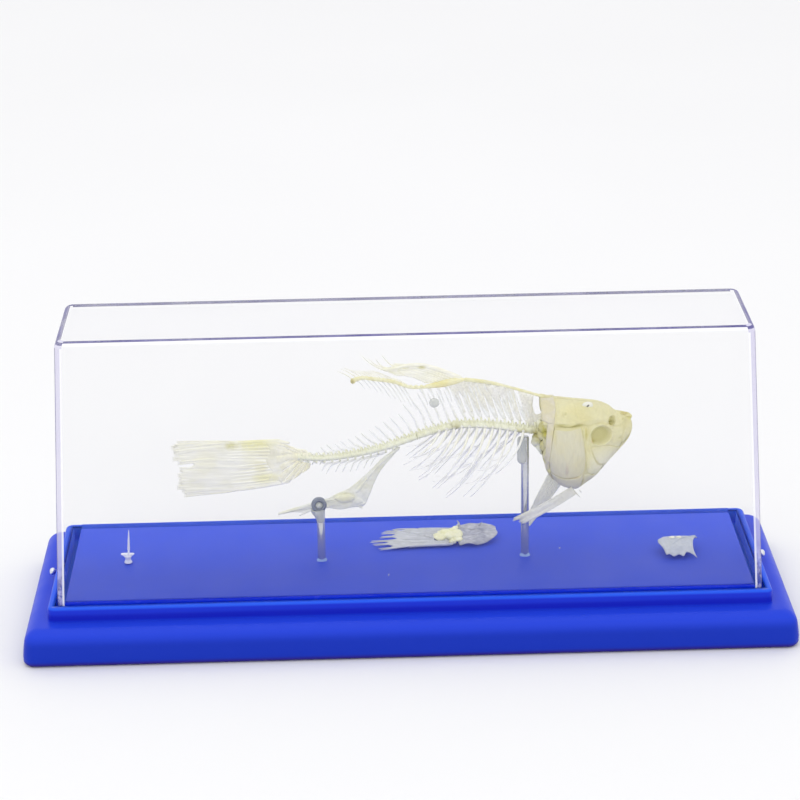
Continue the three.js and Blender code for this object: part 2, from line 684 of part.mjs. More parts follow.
function buildBackbone() {
  const trunkRow = centra(0, TRUNK_VERTEBRAE, 0, TRUNK_CENTRUM_SIDES);
  const { rear, front, low, high } = TRUNK_SPACE;
  const middle = block(rear, front, -CORE_HALF_WIDTH, CORE_HALF_WIDTH, low, high);
  const spines = [];
  for (let i = 2; i < TRUNK_VERTEBRAE; i += 1) {
    spines.push(neuralSpine(i));
  }
  const webs = [plate(SHOULDER_WEB, PLATE_THICKNESS), plate(FIRST_SPINE, PLATE_THICKNESS),
    plate(SHOULDER_LUMP, SHOULDER_LUMP_THICKNESS)];
  part(fish, 'trunk_vertebrae', join([trunkRow.intersect(middle), ...webs, ...spines]), yellowBone);

  for (const [side, name] of [[1, 'rib_cage_left'], [-1, 'rib_cage_right']]) {
    const inner = side * (CORE_HALF_WIDTH + GAP);
    const outer = side * (CENTRUM_RADIUS_FRONT + 1);
    const flankBlock = block(rear, front, Math.min(inner, outer), Math.max(inner, outer), low, high);
    const pieces = [trunkRow.intersect(flankBlock)];
    for (let i = 0; i < RIB_PAIRS; i += 1) {
      pieces.push(rib(i, side));
    }
    part(fish, name, mainBody(join(pieces)), paleBone);
  }

  const tailRow = centra(TRUNK_VERTEBRAE, VERTEBRAE, GAP, TAIL_CENTRUM_SIDES);
  const tailPieces = [tailRow];
  for (let i = TRUNK_VERTEBRAE; i < VERTEBRAE - SPINELESS_END; i += 1) {
    tailPieces.push(neuralSpine(i));
  }
  for (let i = FIRST_HAEMAL; i < VERTEBRAE - SPINELESS_END; i += 1) {
    tailPieces.push(haemalSpine(i));
  }
  part(fish, 'tail_vertebrae', mainBody(join(tailPieces)), yellowBone);
}

// ---------------------------------------------------------------------------- fins of the back

/** Bone that hangs between two spines from the line of the nape or fin foot. */
function hangingBone(index, topHalf) {
  const place = (index + SUPPORT_OFFSET) / VERTEBRAE;
  const direction = spineDirection(place);
  const foot = backbonePoint(place);
  const top = foot.clone().addScaledVector(direction, reachToDorsalLine(foot, direction));
  return straightSpike(top, top.clone().addScaledVector(direction, -HANGING_LENGTH), topHalf);
}

function buildNape() {
  const line = NAPE_LINE.map(([x, z]) => at(x, 0, z));
  const ridge = slenderBone(line, 6, 6, (t) => [THREE.MathUtils.lerp(0.8, 1.1, t), 0.7]);
  const teeth = [];
  for (let i = 2; i < FIRST_SLENDER_SPINE; i += 1) {
    teeth.push(hangingBone(i, 1.05));
  }
  part(fish, 'nape_bones', mainBody(join([ridge, ...teeth])), yellowBone);
}

function buildDorsalFin() {
  const line = DORSAL_FOOT.map(([x, z]) => at(x, 0, z));
  const pieces = [slenderBone(line, 9, 6, (t) => [ramp(DORSAL_FOOT_HALF_HEIGHT, t), 0.85])];
  // Supports between the spines of the vertebrae, under the front of the fin.
  for (let i = FIRST_SLENDER_SPINE; i + 1 < FIRST_TAIL_SPINE; i += 1) {
    pieces.push(hangingBone(i, 0.7));
  }
  // Supports that hang free behind them, shorter towards the tail.
  const supports = 7;
  for (let i = 0; i < supports; i += 1) {
    const share = i / (supports - 1);
    const x = THREE.MathUtils.lerp(-2.5, -19.5, share);
    const reach = THREE.MathUtils.lerp(10.5, 5, share);
    const tilt = THREE.MathUtils.degToRad(THREE.MathUtils.lerp(62, 48, share));
    const top = at(x, 0, dorsalLine(x));
    const bottom = at(x + reach * Math.cos(tilt), 0, top.z - reach * Math.sin(tilt));
    pieces.push(straightSpike(top, bottom, 0.6));
  }
  // Short rays along the back of the fin.
  const shortRays = 5;
  for (let i = 0; i < shortRays; i += 1) {
    const share = i / (shortRays - 1);
    const x = THREE.MathUtils.lerp(-6.5, -19.5, share);
    const reach = THREE.MathUtils.lerp(9.5, 7.5, share);
    const root = at(x, 0, dorsalLine(x));
    const tip = at(x - reach * 0.85, 0, root.z + reach * 0.56 + 0.6);
    pieces.push(straightSpike(root, tip, 0.5));
  }
  part(fish, 'dorsal_fin_supports', mainBody(join(pieces)), yellowBone);

  // Long rays laid back in a bundle over the foot of the fin.
  const bundle = rayFan({
    rays: 6,
    root: (t) => at(THREE.MathUtils.lerp(20.6, 8.4, t), 0, ramp([[0, 99], [0.5, 97.7], [1, 96.7]], t)),
    tip: (t) => at(THREE.MathUtils.lerp(-4.8, -8.8, t), 0, THREE.MathUtils.lerp(103.9, 101.2, t)),
    normal: at(0, 1, 0),
    rayHalf: 0.6,
    webHalf: 0.3,
    notch: 0.12,
    steps: 2,
    arch: (t) => at(0, 0, THREE.MathUtils.lerp(2.3, -0.4, t)),
  });
  const tips = [
    [[-3, 102.6], [-13.2, 105], [-17.3, 108.9]],
    [[-1, 103.4], [-5.6, 104.8], [-9, 108.6]],
  ].map((line3) => slenderBone(line3.map(([x, z]) => at(x, 0, z)), 2, 4, (t) => {
    const half = THREE.MathUtils.lerp(0.5, 0.36, t);
    return [half, half * 1.2];
  }));
  part(fish, 'dorsal_fin_rays', mainBody(join([bundle, ...tips])), paleBone);

  const blobPlace = at(11.2, 0, 88.7);
  const blob = ellipsoid(blobPlace.x, -SPINE_HALF_THICKNESS - GAP - 1, blobPlace.z, 2, 1, 2, 9, 4);
  part(fish, 'glue_blob', blob, glue);
}

// ---------------------------------------------------------------------------- tail fin

function buildTail() {
  part(fish, 'tail_end_plate', plate(END_PLATE, PLATE_THICKNESS), paleBone);
  const lobes = [['caudal_fin_upper', 0, 0.5 - 0.012], ['caudal_fin_lower', 0.5 + 0.012, 1]];
  for (const [name, from, to] of lobes) {
    const place = (t) => THREE.MathUtils.lerp(from, to, t);
    const lobe = rayFan({
      rays: TAIL_RAYS_PER_LOBE,
      root: (t) => at(TAIL_ROOT_X, 0, THREE.MathUtils.lerp(TAIL_ROOT_TOP, TAIL_ROOT_BOTTOM, place(t))),
      tip: (t) => at(ramp(TAIL_TIP_X, place(t)), 0,
        THREE.MathUtils.lerp(TAIL_TIP_TOP, TAIL_TIP_BOTTOM, place(t))),
      normal: at(0, 1, 0),
      rayHalf: 0.6,
      webHalf: 0.27,
      notch: 0.06,
      steps: 2,
      arch: () => at(0, 0, 0),
    });
    part(fish, name, lobe, from === 0 ? yellowBone : paleBone);
  }
}

// ---------------------------------------------------------------------------- anal fin

function buildAnalFin() {
  const blade = plate([...ANAL_UPPER_EDGE, ...ANAL_LOWER_EDGE], PLATE_THICKNESS);
  const knob = ellipsoid(-25, 0, 48, 4.5, 1.3, 2.2, 8, 5);
  const spur = slenderBone([at(-31, 0, 44.9), at(-37, 0, 43.9), at(-43.4, 0, 40.9)], 3, 4,
    (t) => [THREE.MathUtils.lerp(0.9, 0.36, t), 0.6]);
  const fin = mainBody(join([blade, knob, spur]));
  part(fish, 'anal_fin', fin, yellowBone);
  const room = plate(offsetOutline([...ANAL_UPPER_EDGE, ...ANAL_LOWER_EDGE], GAP),
    PLATE_THICKNESS + 2 * GAP);
  const spurRoom = slenderBone([at(-30, 0, 45), at(-37, 0, 43.9), at(-44.4, 0, 40.4)], 3, 4,
    () => [1.5, 1.2]);
  return join([room, spurRoom, ellipsoid(-25, 0, 48, 4.9, 1.7, 2.6, 8, 5)]);
}

// ---------------------------------------------------------------------------- head

/** Half width of the head at an x and z, drawn in by an inset. */
function headHalfWidth(x, z, inset = 0) {
  const top = ramp(HEAD_TOP, x) - inset;
  const bottom = ramp(HEAD_BOTTOM, x) + inset;
  const share = THREE.MathUtils.clamp((2 * z - top - bottom) / (top - bottom), -1, 1);
  const power = share > 0 ? HEAD_ROOF_POWER : HEAD_THROAT_POWER;
  return (ramp(HEAD_HALF_WIDTH, x) - inset) * Math.sqrt(1 - share * share) ** power;
}

/** Ring across the head: full under the roof, narrowing towards the throat. */
function headRing(x, half, top, bottom) {
  const ring = [];
  for (let j = 0; j < HEAD_AROUND; j += 1) {
    const angle = j / HEAD_AROUND * Math.PI * 2;
    const power = Math.sin(angle) > 0 ? HEAD_ROOF_POWER : HEAD_THROAT_POWER;
    const across = Math.sign(Math.cos(angle)) * Math.abs(Math.cos(angle)) ** power;
    ring.push(at(x, half * across, (top + bottom) / 2 + (top - bottom) / 2 * Math.sin(angle)));
  }
  return ring;
}

/**
 * The whole head as one smooth form, drawn in by an inset or swelled by a negative one. A form
 * that is drawn in runs out past the back of the head, so that what is left round it is open.
 */
function headForm(inset) {
  const rings = HEAD_STATIONS.map((station, index) => {
    const last = HEAD_STATIONS.length - 1;
    const back = inset > 0 ? -1 : inset;
    const x = station + (index === 0 ? back : 0) - (index === last ? inset : 0);
    const top = ramp(HEAD_TOP, station) - inset;
    const bottom = ramp(HEAD_BOTTOM, station) + inset;
    const half = Math.max(ramp(HEAD_HALF_WIDTH, station) - inset, 0.15);
    const high = Math.max((top - bottom) / 2, 0.15);
    const middle = (top + bottom) / 2;
    return headRing(x, half, middle + high, middle - high);
  });
  return solid(loft(rings));
}

/** Recess in each side of the head. */
function sideRecess({ x, z, length, height, depth }, around, high) {
  return join([-1, 1].map((side) => ellipsoid(
    x, side * headHalfWidth(x, z), z, length, depth, height, around, high)));
}

function buildHead() {
  const whole = headForm(0);
  const underPlates = headForm(HEAD_PLATE);
  const core = headForm(HEAD_PLATE + GAP);
  const room = headForm(-GAP);
  const region = (outline, grow) => plate(offsetOutline(outline, grow), CUT_WIDTH);
  const shell = whole.subtract(underPlates);
  const midCut = block(50, 95, -GAP / 2, GAP / 2, 40, 95);

  const jawCut = GAP / 2;
  const jaws = [
    ['lower_jaw', LOWER_JAW_OUTLINE, bone],
    ['upper_jaw', UPPER_JAW_OUTLINE, yellowBone],
  ];
  const plates = [
    ['opercle', OPERCLE_OUTLINE, paleBone],
    ['preopercle', PREOPERCLE_OUTLINE, bone],
    ['cheek', CHEEK_OUTLINE, bone],
    ['cleithrum', CLEITHRUM_OUTLINE, paleBone],
  ];
  // The back of the head: braincase, crest and the joint with the backbone over a hollow.
  const gillHollow = ellipsoid(53, 0, 64.5, 9.5, 6.2, 10.5, 9, 5);
  const braincase = solid(loft([
    headRing(53, 4.4, 89.6, 75.6), headRing(54.4, 5.8, 89.9, 74.6), headRing(60, 6.2, 88.4, 74.6),
  ]));
  const crest = plate([[60, 88], [56, 90.2], [52.7, 91], [52.7, 88.9], [56, 84]], 1.4);
  const joint = slenderBone([at(58, 0, 76), at(55.5, 0, 75.7), at(53.3, 0, 75.5)], 1, 8,
    () => [1.6, 1.6]);
  let skull = whole.subtract(gillHollow).add(braincase).add(crest).add(joint);
  for (const [name, outline, finish] of jaws) {
    part(fish, name, mainBody(whole.intersect(region(outline, -jawCut))), finish);
    skull = skull.subtract(region(outline, jawCut));
  }
  const orbits = sideRecess(ORBIT, 9, 5);
  for (const [name, outline, finish] of plates) {
    const both = shell.intersect(region(outline, -jawCut)).subtract(midCut).subtract(orbits);
    for (const [side, suffix] of [[1, 'left'], [-1, 'right']]) {
      const half = block(40, 100,
        Math.min(0, side * CUT_WIDTH), Math.max(0, side * CUT_WIDTH), 30, 100);
      part(fish, `${name}_${suffix}`, mainBody(both.intersect(half)), finish);
    }
    skull = skull.subtract(region(outline, jawCut).intersect(room).subtract(core));
  }
  skull = skull.subtract(orbits).subtract(sideRecess(NOSTRIL, 7, 4));
  part(fish, 'skull', mainBody(skull), bone);
  return room;
}

// ---------------------------------------------------------------------------- pectoral fins

function buildPectoralFins(headRoom) {
  const right = rayFan({
    rays: 5,
    root: (t) => at(THREE.MathUtils.lerp(65, 67, t), -3.6, THREE.MathUtils.lerp(52.5, 49.5, t)),
    tip: (t) => at(THREE.MathUtils.lerp(41.4, 45.4, t), -4.6, THREE.MathUtils.lerp(39, 36.8, t)),
    normal: at(0.1, -0.99, 0.1).normalize(),
    rayHalf: 0.5,
    webHalf: 0.27,
    notch: 0.1,
    steps: 2,
    arch: () => at(0, -0.8, 0),
  });
  const left = rayFan({
    rays: 5,
    root: (t) => at(THREE.MathUtils.lerp(57.8, 63.4, t), 3.6, THREE.MathUtils.lerp(57.2, 53, t)),
    tip: (t) => at(THREE.MathUtils.lerp(48.7, 50.6, t), 4.2, THREE.MathUtils.lerp(31.8, 33.6, t)),
    normal: at(0.1, 0.99, 0.1).normalize(),
    rayHalf: 0.5,
    webHalf: 0.27,
    notch: 0.1,
    steps: 2,
    arch: () => at(0, 0.6, 0),
  });
  part(fish, 'pectoral_fin_right', mainBody(right.subtract(headRoom)), paleBone);
  part(fish, 'pectoral_fin_left', mainBody(left.subtract(headRoom)), paleBone);
}

// ---------------------------------------------------------------------------- loose bones

/** Height of the underside of a bone that lies on the panel. */
const REST = PANEL_TOP + GAP;

/** Thin curved plate along y, of an x range and a height at each station. */
function archedPlate(stations, thickness) {
  return loft(stations.map(([y, xLeft, xRight, rise]) => {
    const z = REST + rise;
    const middle = (xLeft + xRight) / 2;
    const crown = 0.5;
    return [
      at(xLeft, y, z), at(middle, y, z + crown), at(xRight, y, z),
      at(xRight, y, z + thickness), at(middle, y, z + crown + thickness), at(xLeft, y, z + thickness),
    ];
  }));
}

function buildLooseBones() {
  const tilt = (x, y) => at(x, y, REST + 0.16 + 0.3 * (y - 3.6));
  const fan = rayFan({
    rays: 5,
    root: (t) => tilt(THREE.MathUtils.lerp(19, 19.6, t), THREE.MathUtils.lerp(6.4, 16, t)),
    tip: (t) => tilt(ramp([[0, -6], [0.25, -11.5], [0.5, -14.4], [0.75, -12], [1, -5]], t),
      THREE.MathUtils.lerp(3.9, 16.4, t)),
    normal: at(0, -0.28, 0.96),
    rayHalf: 0.5,
    webHalf: 0.27,
    notch: 0.2,
    steps: 2,
    arch: () => at(0, 0, 0),
  });
  const lump = ellipsoid(14.6, 11, REST + 2.9, 4.6, 3.8, 1.7, 8, 5);
  part(model, 'loose_pelvic_fin', mainBody(fan.add(lump)), paleBone);

  const blade = solid(archedPlate([
    [5.8, 21.5, 28.5, 0], [8, 20.6, 33.5, 0.9], [12.5, 20.4, 36.8, 2.2], [16, 20.4, 35.6, 3.4],
    [17.4, 21, 26, 4],
  ], 0.8));
  const process = slenderBone([at(29, 15.5, REST + 3.4), at(30, 16, REST + 4.8), at(31.4, 16.4, REST + 6)],
    2, 4, (t) => [THREE.MathUtils.lerp(0.8, 0.4, t), 0.5]);
  part(model, 'loose_pelvic_girdle', mainBody(blade.add(process)), yellowBone);

  const plateBone = archedPlate([
    [-12, 111.6, 114.8, 0], [-10.6, 104.2, 114.4, 0.9], [-6.5, 102.4, 114.6, 2.8],
    [-2, 100.6, 115.6, 3.8], [1, 103, 117, 3.4], [3.4, 104.6, 117.6, 2],
  ], 0.8);
  part(model, 'loose_plate_bone', plateBone, paleBone);

  const vertebraX = -112.8;
  const vertebraY = -1;
  const waisted = [[0, 0], [1.5, 0], [1.6, 0.4], [1.1, 1.6], [1.6, 2.9], [1.5, 3.3], [0, 3.3]];
  const centrum = new THREE.LatheGeometry(waisted.map(([r, h]) => new THREE.Vector2(r, h)), 8);
  centrum.rotateX(Math.PI / 2).translate(vertebraX, vertebraY, REST);
  const arms = slenderBone([
    at(vertebraX - 2.8, vertebraY, REST + 3.6), at(vertebraX, vertebraY, REST + 3.3),
    at(vertebraX + 2.6, vertebraY, REST + 3.7),
  ], 2, 4, (t) => [0.45 + 0.5 * Math.sin(Math.PI * t), 0.9]);
  const spine = slenderBone([
    at(vertebraX + 0.3, vertebraY, REST + 3), at(vertebraX + 0.6, vertebraY, REST + 8),
    at(vertebraX + 0.9, vertebraY, REST + 14.4),
  ], 1, 4, (t) => [THREE.MathUtils.lerp(0.9, 0.4, t), THREE.MathUtils.lerp(0.8, 0.4, t)]);
  part(model, 'loose_vertebra', join([solid(centrum), arms, spine]), paleBone);
}

buildBase();
buildCase();
const finRoom = buildAnalFin();
buildRods(finRoom);
buildBackbone();
buildNape();
buildDorsalFin();
buildTail();
buildPectoralFins(buildHead());
buildLooseBones();

export default model;
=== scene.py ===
"""Looks of a mounted fish skeleton: the bones of a small carp-like fish on two rods, over a blue
moulded base and under a clear tapered case, with three loose bones beside it.

Sizes are in millimetres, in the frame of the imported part, and become metres when a piece is made.
"""
import logging
import math
from collections.abc import Callable
from dataclasses import dataclass, field
from enum import Enum

import bpy
import numpy as np
from mathutils import Matrix


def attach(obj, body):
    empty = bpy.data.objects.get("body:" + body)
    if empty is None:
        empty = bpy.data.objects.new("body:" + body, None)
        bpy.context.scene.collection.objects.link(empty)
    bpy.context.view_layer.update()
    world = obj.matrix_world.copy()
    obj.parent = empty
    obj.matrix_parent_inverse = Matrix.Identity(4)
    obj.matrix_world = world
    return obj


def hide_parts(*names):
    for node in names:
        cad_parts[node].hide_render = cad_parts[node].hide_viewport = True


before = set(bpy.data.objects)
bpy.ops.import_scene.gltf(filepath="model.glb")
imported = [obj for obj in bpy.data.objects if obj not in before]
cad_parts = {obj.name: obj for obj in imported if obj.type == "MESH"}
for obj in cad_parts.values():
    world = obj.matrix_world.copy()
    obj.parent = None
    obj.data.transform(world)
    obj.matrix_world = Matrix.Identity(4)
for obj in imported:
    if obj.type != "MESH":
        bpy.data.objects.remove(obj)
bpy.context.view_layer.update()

MM = 0.001
FISH_Y = -2.5
TINY = 1e-12
LOG = logging.getLogger("fish_skeleton")

Point = tuple[float, float, float]
Stops = tuple[tuple[float, float], ...]
Colour = tuple[float, float, float, float]
Screen = tuple[int, int, int]
Swell = Callable[[np.ndarray, float], np.ndarray]


class Side(Enum):
    """Side of the fish: its right side faces the camera."""

    RIGHT = -1
    LEFT = 1

    @property
    def word(self) -> str:
        """Name of the side in lower case."""
        return self.name.lower()


# ------------------------------------------------------------------------------------ curves


def hermite(xs: np.ndarray, ys: np.ndarray, lean: np.ndarray, at: np.ndarray) -> np.ndarray:
    """Smooth curve through points at which its slope is known.

    Args:
        xs: Places of the points, in order.
        ys: Values of the points.
        lean: Slopes at the points.
        at: Where the curve is read.

    Returns:
        The values there.
    """
    i = np.clip(np.searchsorted(xs, at) - 1, 0, len(xs) - 2)
    step = xs[i + 1] - xs[i]
    t = (at - xs[i]) / step
    a, b = (1 + 2 * t) * (1 - t) ** 2, t * (1 - t) ** 2
    c, d = t * t * (3 - 2 * t), t * t * (t - 1)
    return a * ys[i] + b * step * lean[i] + c * ys[i + 1] + d * step * lean[i + 1]


def curve_value(stops: Stops, place: np.ndarray) -> np.ndarray:
    """Smooth curve through stops that never overshoots them.

    Args:
        stops: Pairs of place and value, in order of place.
        place: Where the curve is read.

    Returns:
        The values, held flat past both ends.
    """
    xs, ys = np.array(stops, float).T
    slopes = np.diff(ys) / np.diff(xs)
    inner = np.where(slopes[1:] * slopes[:-1] > 0,
                     2 * slopes[1:] * slopes[:-1] / (slopes[1:] + slopes[:-1] + TINY), 0.0)
    lean = np.concatenate([[slopes[0]], inner, [slopes[-1]]])
    return hermite(xs, ys, lean, np.clip(place, xs[0], xs[-1]))


def value_at(stops: Stops, place: float) -> float:
    """One value of a smooth curve through stops."""
    return float(curve_value(stops, np.array(place)))


def smooth_line(points: np.ndarray | list, count: int) -> np.ndarray:
    """Evenly spaced points on a smooth curve through given points.

    Args:
        points: The points, of any dimension.
        count: How many points are wanted.

    Returns:
        An array of count points.
    """
    given = np.array(points, float)
    reach = np.concatenate([[0], np.cumsum(np.linalg.norm(np.diff(given, axis=0), axis=1))])
    if len(given) == 2:
        t = np.linspace(0, 1, count)[:, None]
        return given[0] * (1 - t) + given[1] * t
    fine = np.linspace(0, reach[-1], count)
    return np.stack([hermite(reach, ys, np.gradient(ys, reach), fine) for ys in given.T], axis=1)


def line_distance(x: np.ndarray, z: np.ndarray, line: list) -> np.ndarray:
    """Distance of points in the side view from a line of straight stretches.

    Args:
        x: Places along the fish.
        z: Heights.
        line: Ends of the stretches, as x and z.

    Returns:
        The distances.
    """
    nearest = np.full(np.shape(x), 1e9)
    for (ax, az), (bx, bz) in zip(line, line[1:]):
        dx, dz = bx - ax, bz - az
        t = np.clip(((x - ax) * dx + (z - az) * dz) / (dx * dx + dz * dz), 0, 1)
        nearest = np.minimum(nearest, np.hypot(x - ax - t * dx, z - az - t * dz))
    return nearest


def stood(grid: np.ndarray, y: np.ndarray | float) -> np.ndarray:
    """Points of the side view, given as x and z, stood up in space at their y."""
    return np.stack([grid[..., 0], y + 0 * grid[..., 0], grid[..., 1]], axis=-1)


def ripple(points: np.ndarray, scale: float, seed: int) -> np.ndarray:
    """Gentle uneven height over points in space, between about -1 and 1.

    Args:
        points: Array whose last axis is x, y and z.
        scale: Length of the longest waves.
        seed: Seed of the waves.

    Returns:
        The heights.
    """
    rng = np.random.default_rng(seed)
    height = np.zeros(points.shape[:-1])
    for octave in range(3):
        for _ in range(3):
            wave = rng.normal(size=3) / scale * 2 ** octave
            height += np.sin(points @ wave + rng.uniform(0, 6.28)) / 2 ** octave / 5.25
    return height


def coons(low: list, high: list, rear: list, front: list, along: int, across: int) -> np.ndarray:
    """Grid over a four-sided patch.

    Args:
        low: Line of the lower edge, from the rear to the front.
        high: Line of the upper edge, from the rear to the front.
        rear: Line of the rear edge, from low to high.
        front: Line of the front edge, from low to high.
        along: Grid points from rear to front.
        across: Grid points from low to high.

    Returns:
        An array of along by across points.
    """
    a, b = smooth_line(low, along), smooth_line(high, along)
    c, d = smooth_line(rear, across), smooth_line(front, across)
    u = np.linspace(0, 1, along)[:, None, None]
    v = np.linspace(0, 1, across)[None, :, None]
    ruled = (1 - v) * a[:, None] + v * b[:, None] + (1 - u) * c[None] + u * d[None]
    corners = ((1 - u) * (1 - v) * a[0] + u * (1 - v) * a[-1]
               + (1 - u) * v * b[0] + u * v * b[-1])
    return ruled - corners


# ------------------------------------------------------------------------------------ meshes


class Draft:
    """A mesh while it is being made, in millimetres."""

    def __init__(self) -> None:
        """Starts empty."""
        self.points: list[np.ndarray] = []
        self.hollows: list[np.ndarray] = []
        self.faces: list[tuple[int, ...]] = []
        self.finish_of: list[int] = []
        self.count = 0

    def add(self, points: np.ndarray, hollow: np.ndarray | float = 0.0) -> int:
        """Adds points.

        Args:
            points: Array whose last axis is x, y and z.
            hollow: How deep each lies in a hollow.

        Returns:
            Number of the first point.
        """
        flat = points.reshape(-1, 3)
        self.points.append(flat)
        self.hollows.append(np.broadcast_to(np.asarray(hollow, float), points.shape[:-1]).ravel())
        self.count += len(flat)
        return self.count - len(flat)

    def face(self, corners: tuple[int, ...], finish: int = 0) -> None:
        """Adds one face with the number of its finish."""
        self.faces.append(corners)
        self.finish_of.append(finish)

    def rings(self, rings: np.ndarray, capped: bool = True, finish: int = 0,
              hollow: np.ndarray | float = 0.0) -> None:
        """Adds a skin over rings.

        Args:
            rings: Array of rings by points by 3.
            capped: Whether both ends are closed.
            finish: Number of the finish.
            hollow: How deep the points lie in a hollow.
        """
        rows, around = rings.shape[:2]
        first = self.add(rings, hollow)
        for i in range(rows - 1):
            for j in range(around):
                k = (j + 1) % around
                a, b = first + i * around, first + (i + 1) * around
                self.face((a + j, a + k, b + k, b + j), finish)
        if capped:
            end = first + (rows - 1) * around
            self.face(tuple(first + j for j in reversed(range(around))), finish)
            self.face(tuple(end + j for j in range(around)), finish)

    def sheets(self, over: np.ndarray, under: np.ndarray, finish: int = 0,
               hollow: np.ndarray | float = 0.0) -> None:
        """Adds a closed plate between two grids of points that lie face to face.

        Args:
            over: Grid of the outer face.
            under: Grid of the inner face.
            finish: Number of the finish.
            hollow: How deep the points lie in a hollow.
        """
        rows, columns = over.shape[:2]
        top, bottom = self.add(over, hollow), self.add(under, hollow)
        for i in range(rows - 1):
            for j in range(columns - 1):
                a, b = i * columns + j, (i + 1) * columns + j
                self.face((top + a, top + b, top + b + 1, top + a + 1), finish)
                self.face((bottom + a, bottom + a + 1, bottom + b + 1, bottom + b), finish)
        last = (rows - 1) * columns
        rim = [*range(columns), *range(2 * columns - 1, last + columns, columns),
               *range(last + columns - 2, last - 1, -1), *range(last - columns, 0, -columns)]
        for a, b in zip(rim, rim[1:] + rim[:1]):
            self.face((top + a, top + b, bottom + b, bottom + a), finish)

    def plate(self, grid: np.ndarray, thickness: float, finish: int = 0,
              hollow: np.ndarray | float = 0.0) -> None:
        """Adds a plate centred on a grid, thinner at its rim.

        Args:
            grid: Grid of points through the middle of the plate.
            thickness: Full thickness away from the rim.
            finish: Number of the finish.
            hollow: How deep the points lie in a hollow.
        """
        across = np.gradient(grid, axis=0)
        along = np.gradient(grid, axis=1)
        normal = np.cross(across, along)
        normal /= np.linalg.norm(normal, axis=-1, keepdims=True) + TINY
        half = (thickness / 2 * edge_profile(*grid.shape[:2], 0.35))[..., None]
        self.sheets(grid + normal * half, grid - normal * half, finish, hollow)

    def tube(self, path: np.ndarray | list, high: float | np.ndarray, wide: float | np.ndarray,
             steps: int = 16, sides: int = 8, blunt: bool = True, finish: int = 0,
             hollow: float = 0.0) -> None:
        """Adds a rounded bone along a smooth line.

        Args:
            path: Points of the line.
            high: Half size in the plane of the fish, or its values along the line.
            wide: Half size across the fish, or its values along the line.
            steps: Stretches along the line.
            sides: Points round it.
            blunt: Whether both ends are rounded over.
            finish: Number of the finish.
            hollow: How deep the points lie in a hollow.
        """
        line = smooth_line(path, steps + 1)
        tangent = np.gradient(line, axis=0)
        tangent /= np.linalg.norm(tangent, axis=1, keepdims=True) + TINY
        side = np.array([0.0, 1.0, 0.0]) - tangent * tangent[:, 1:2]
        steep = np.linalg.norm(side, axis=1) < 0.2
        side[steep] = np.array([1.0, 0.0, 0.0]) - tangent[steep] * tangent[steep, 0:1]
        side /= np.linalg.norm(side, axis=1, keepdims=True)
        up = np.cross(tangent, side)
        t = np.linspace(0, 1, steps + 1)
        tall = _along(high, t)
        thick = _along(wide, t)
        if blunt:
            end = np.minimum(np.minimum(t, 1 - t) * steps / 1.5 + 0.25, 1) ** 0.5
            tall, thick = tall * end, thick * end
        angle = np.arange(sides) / sides * 2 * np.pi
        ring = (up[:, None] * (tall[:, None] * np.cos(angle))[..., None]
                + side[:, None] * (thick[:, None] * np.sin(angle))[..., None])
        self.rings(line[:, None] + ring, True, finish, hollow)

    def lump(self, centre: Point, radii: Point, rough: float = 0.0, seed: int = 0,
             finish: int = 0, hollow: float = 0.0, detail: int = 14) -> None:
        """Adds an uneven rounded lump.

        Args:
            centre: Its middle.
            radii: Half sizes along the axes.
            rough: Unevenness as a share of the radii.
            seed: Seed of the unevenness.
            finish: Number of the finish.
            hollow: How deep the points lie in a hollow.
            detail: Rings from pole to pole.
        """
        down = np.linspace(0.04, np.pi - 0.04, detail)[:, None]
        round_ = np.arange(2 * detail)[None] / (2 * detail) * 2 * np.pi
        unit = np.stack([np.sin(down) * np.cos(round_), np.sin(down) * np.sin(round_),
                         np.cos(down) * np.ones_like(round_)], axis=-1)
        swell = 1 + rough * ripple(unit, 0.45, seed)
        self.rings(np.array(centre) + unit * np.array(radii) * swell[..., None], True, finish,
                   hollow)

    def lathe(self, place: tuple[float, float], profile: Stops, sides: int,
              swell: Swell | None = None, hollow: float = 0.0) -> None:
        """Adds a body turned round an upright axis.

        Args:
            place: Where its axis stands, as x and y.
            profile: Pairs of radius and height, from one end to the other.
            sides: Points round it.
            swell: Its unevenness by angle and height, as a factor of the radius.
            hollow: How deep the points lie in a hollow.
        """
        angle = np.arange(sides) / sides * 2 * np.pi
        rows = []
        for radius, z in profile:
            reach = radius * swell(angle, z) if swell else radius
            rows.append(np.stack([place[0] + reach * np.cos(angle),
                                  place[1] + reach * np.sin(angle), np.full(sides, z)], axis=-1))
        self.rings(np.array(rows), True, 0, hollow)

    def made(self, name: str, finishes: list["Finish"], nodes: tuple[str, ...], slot: str,
             shift: float = 0.0) -> None:
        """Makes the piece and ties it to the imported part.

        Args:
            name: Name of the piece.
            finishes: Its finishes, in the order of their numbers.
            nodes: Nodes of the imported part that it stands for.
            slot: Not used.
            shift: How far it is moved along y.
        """
        points = np.concatenate(self.points) + np.array([0.0, shift, 0.0])
        mesh = bpy.data.meshes.new(name)
        mesh.from_pydata((points * MM).tolist(), [], self.faces)
        mesh.attributes.new("hollow", "FLOAT", "POINT").data.foreach_set(
            "value", np.concatenate(self.hollows).astype(np.float32))
        mesh.polygons.foreach_set("material_index", self.finish_of)
        mesh.polygons.foreach_set("use_smooth", [True] * len(self.faces))
        for finish in finishes:
            mesh.materials.append(finish.material())
        mesh.update()
        piece = bpy.data.objects.new(name, mesh)
        bpy.context.scene.collection.objects.link(piece)
        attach(piece, "root")
        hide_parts(*nodes)
        LOG.info("%s: %d faces, for %s", name, len(self.faces), ", ".join(nodes))


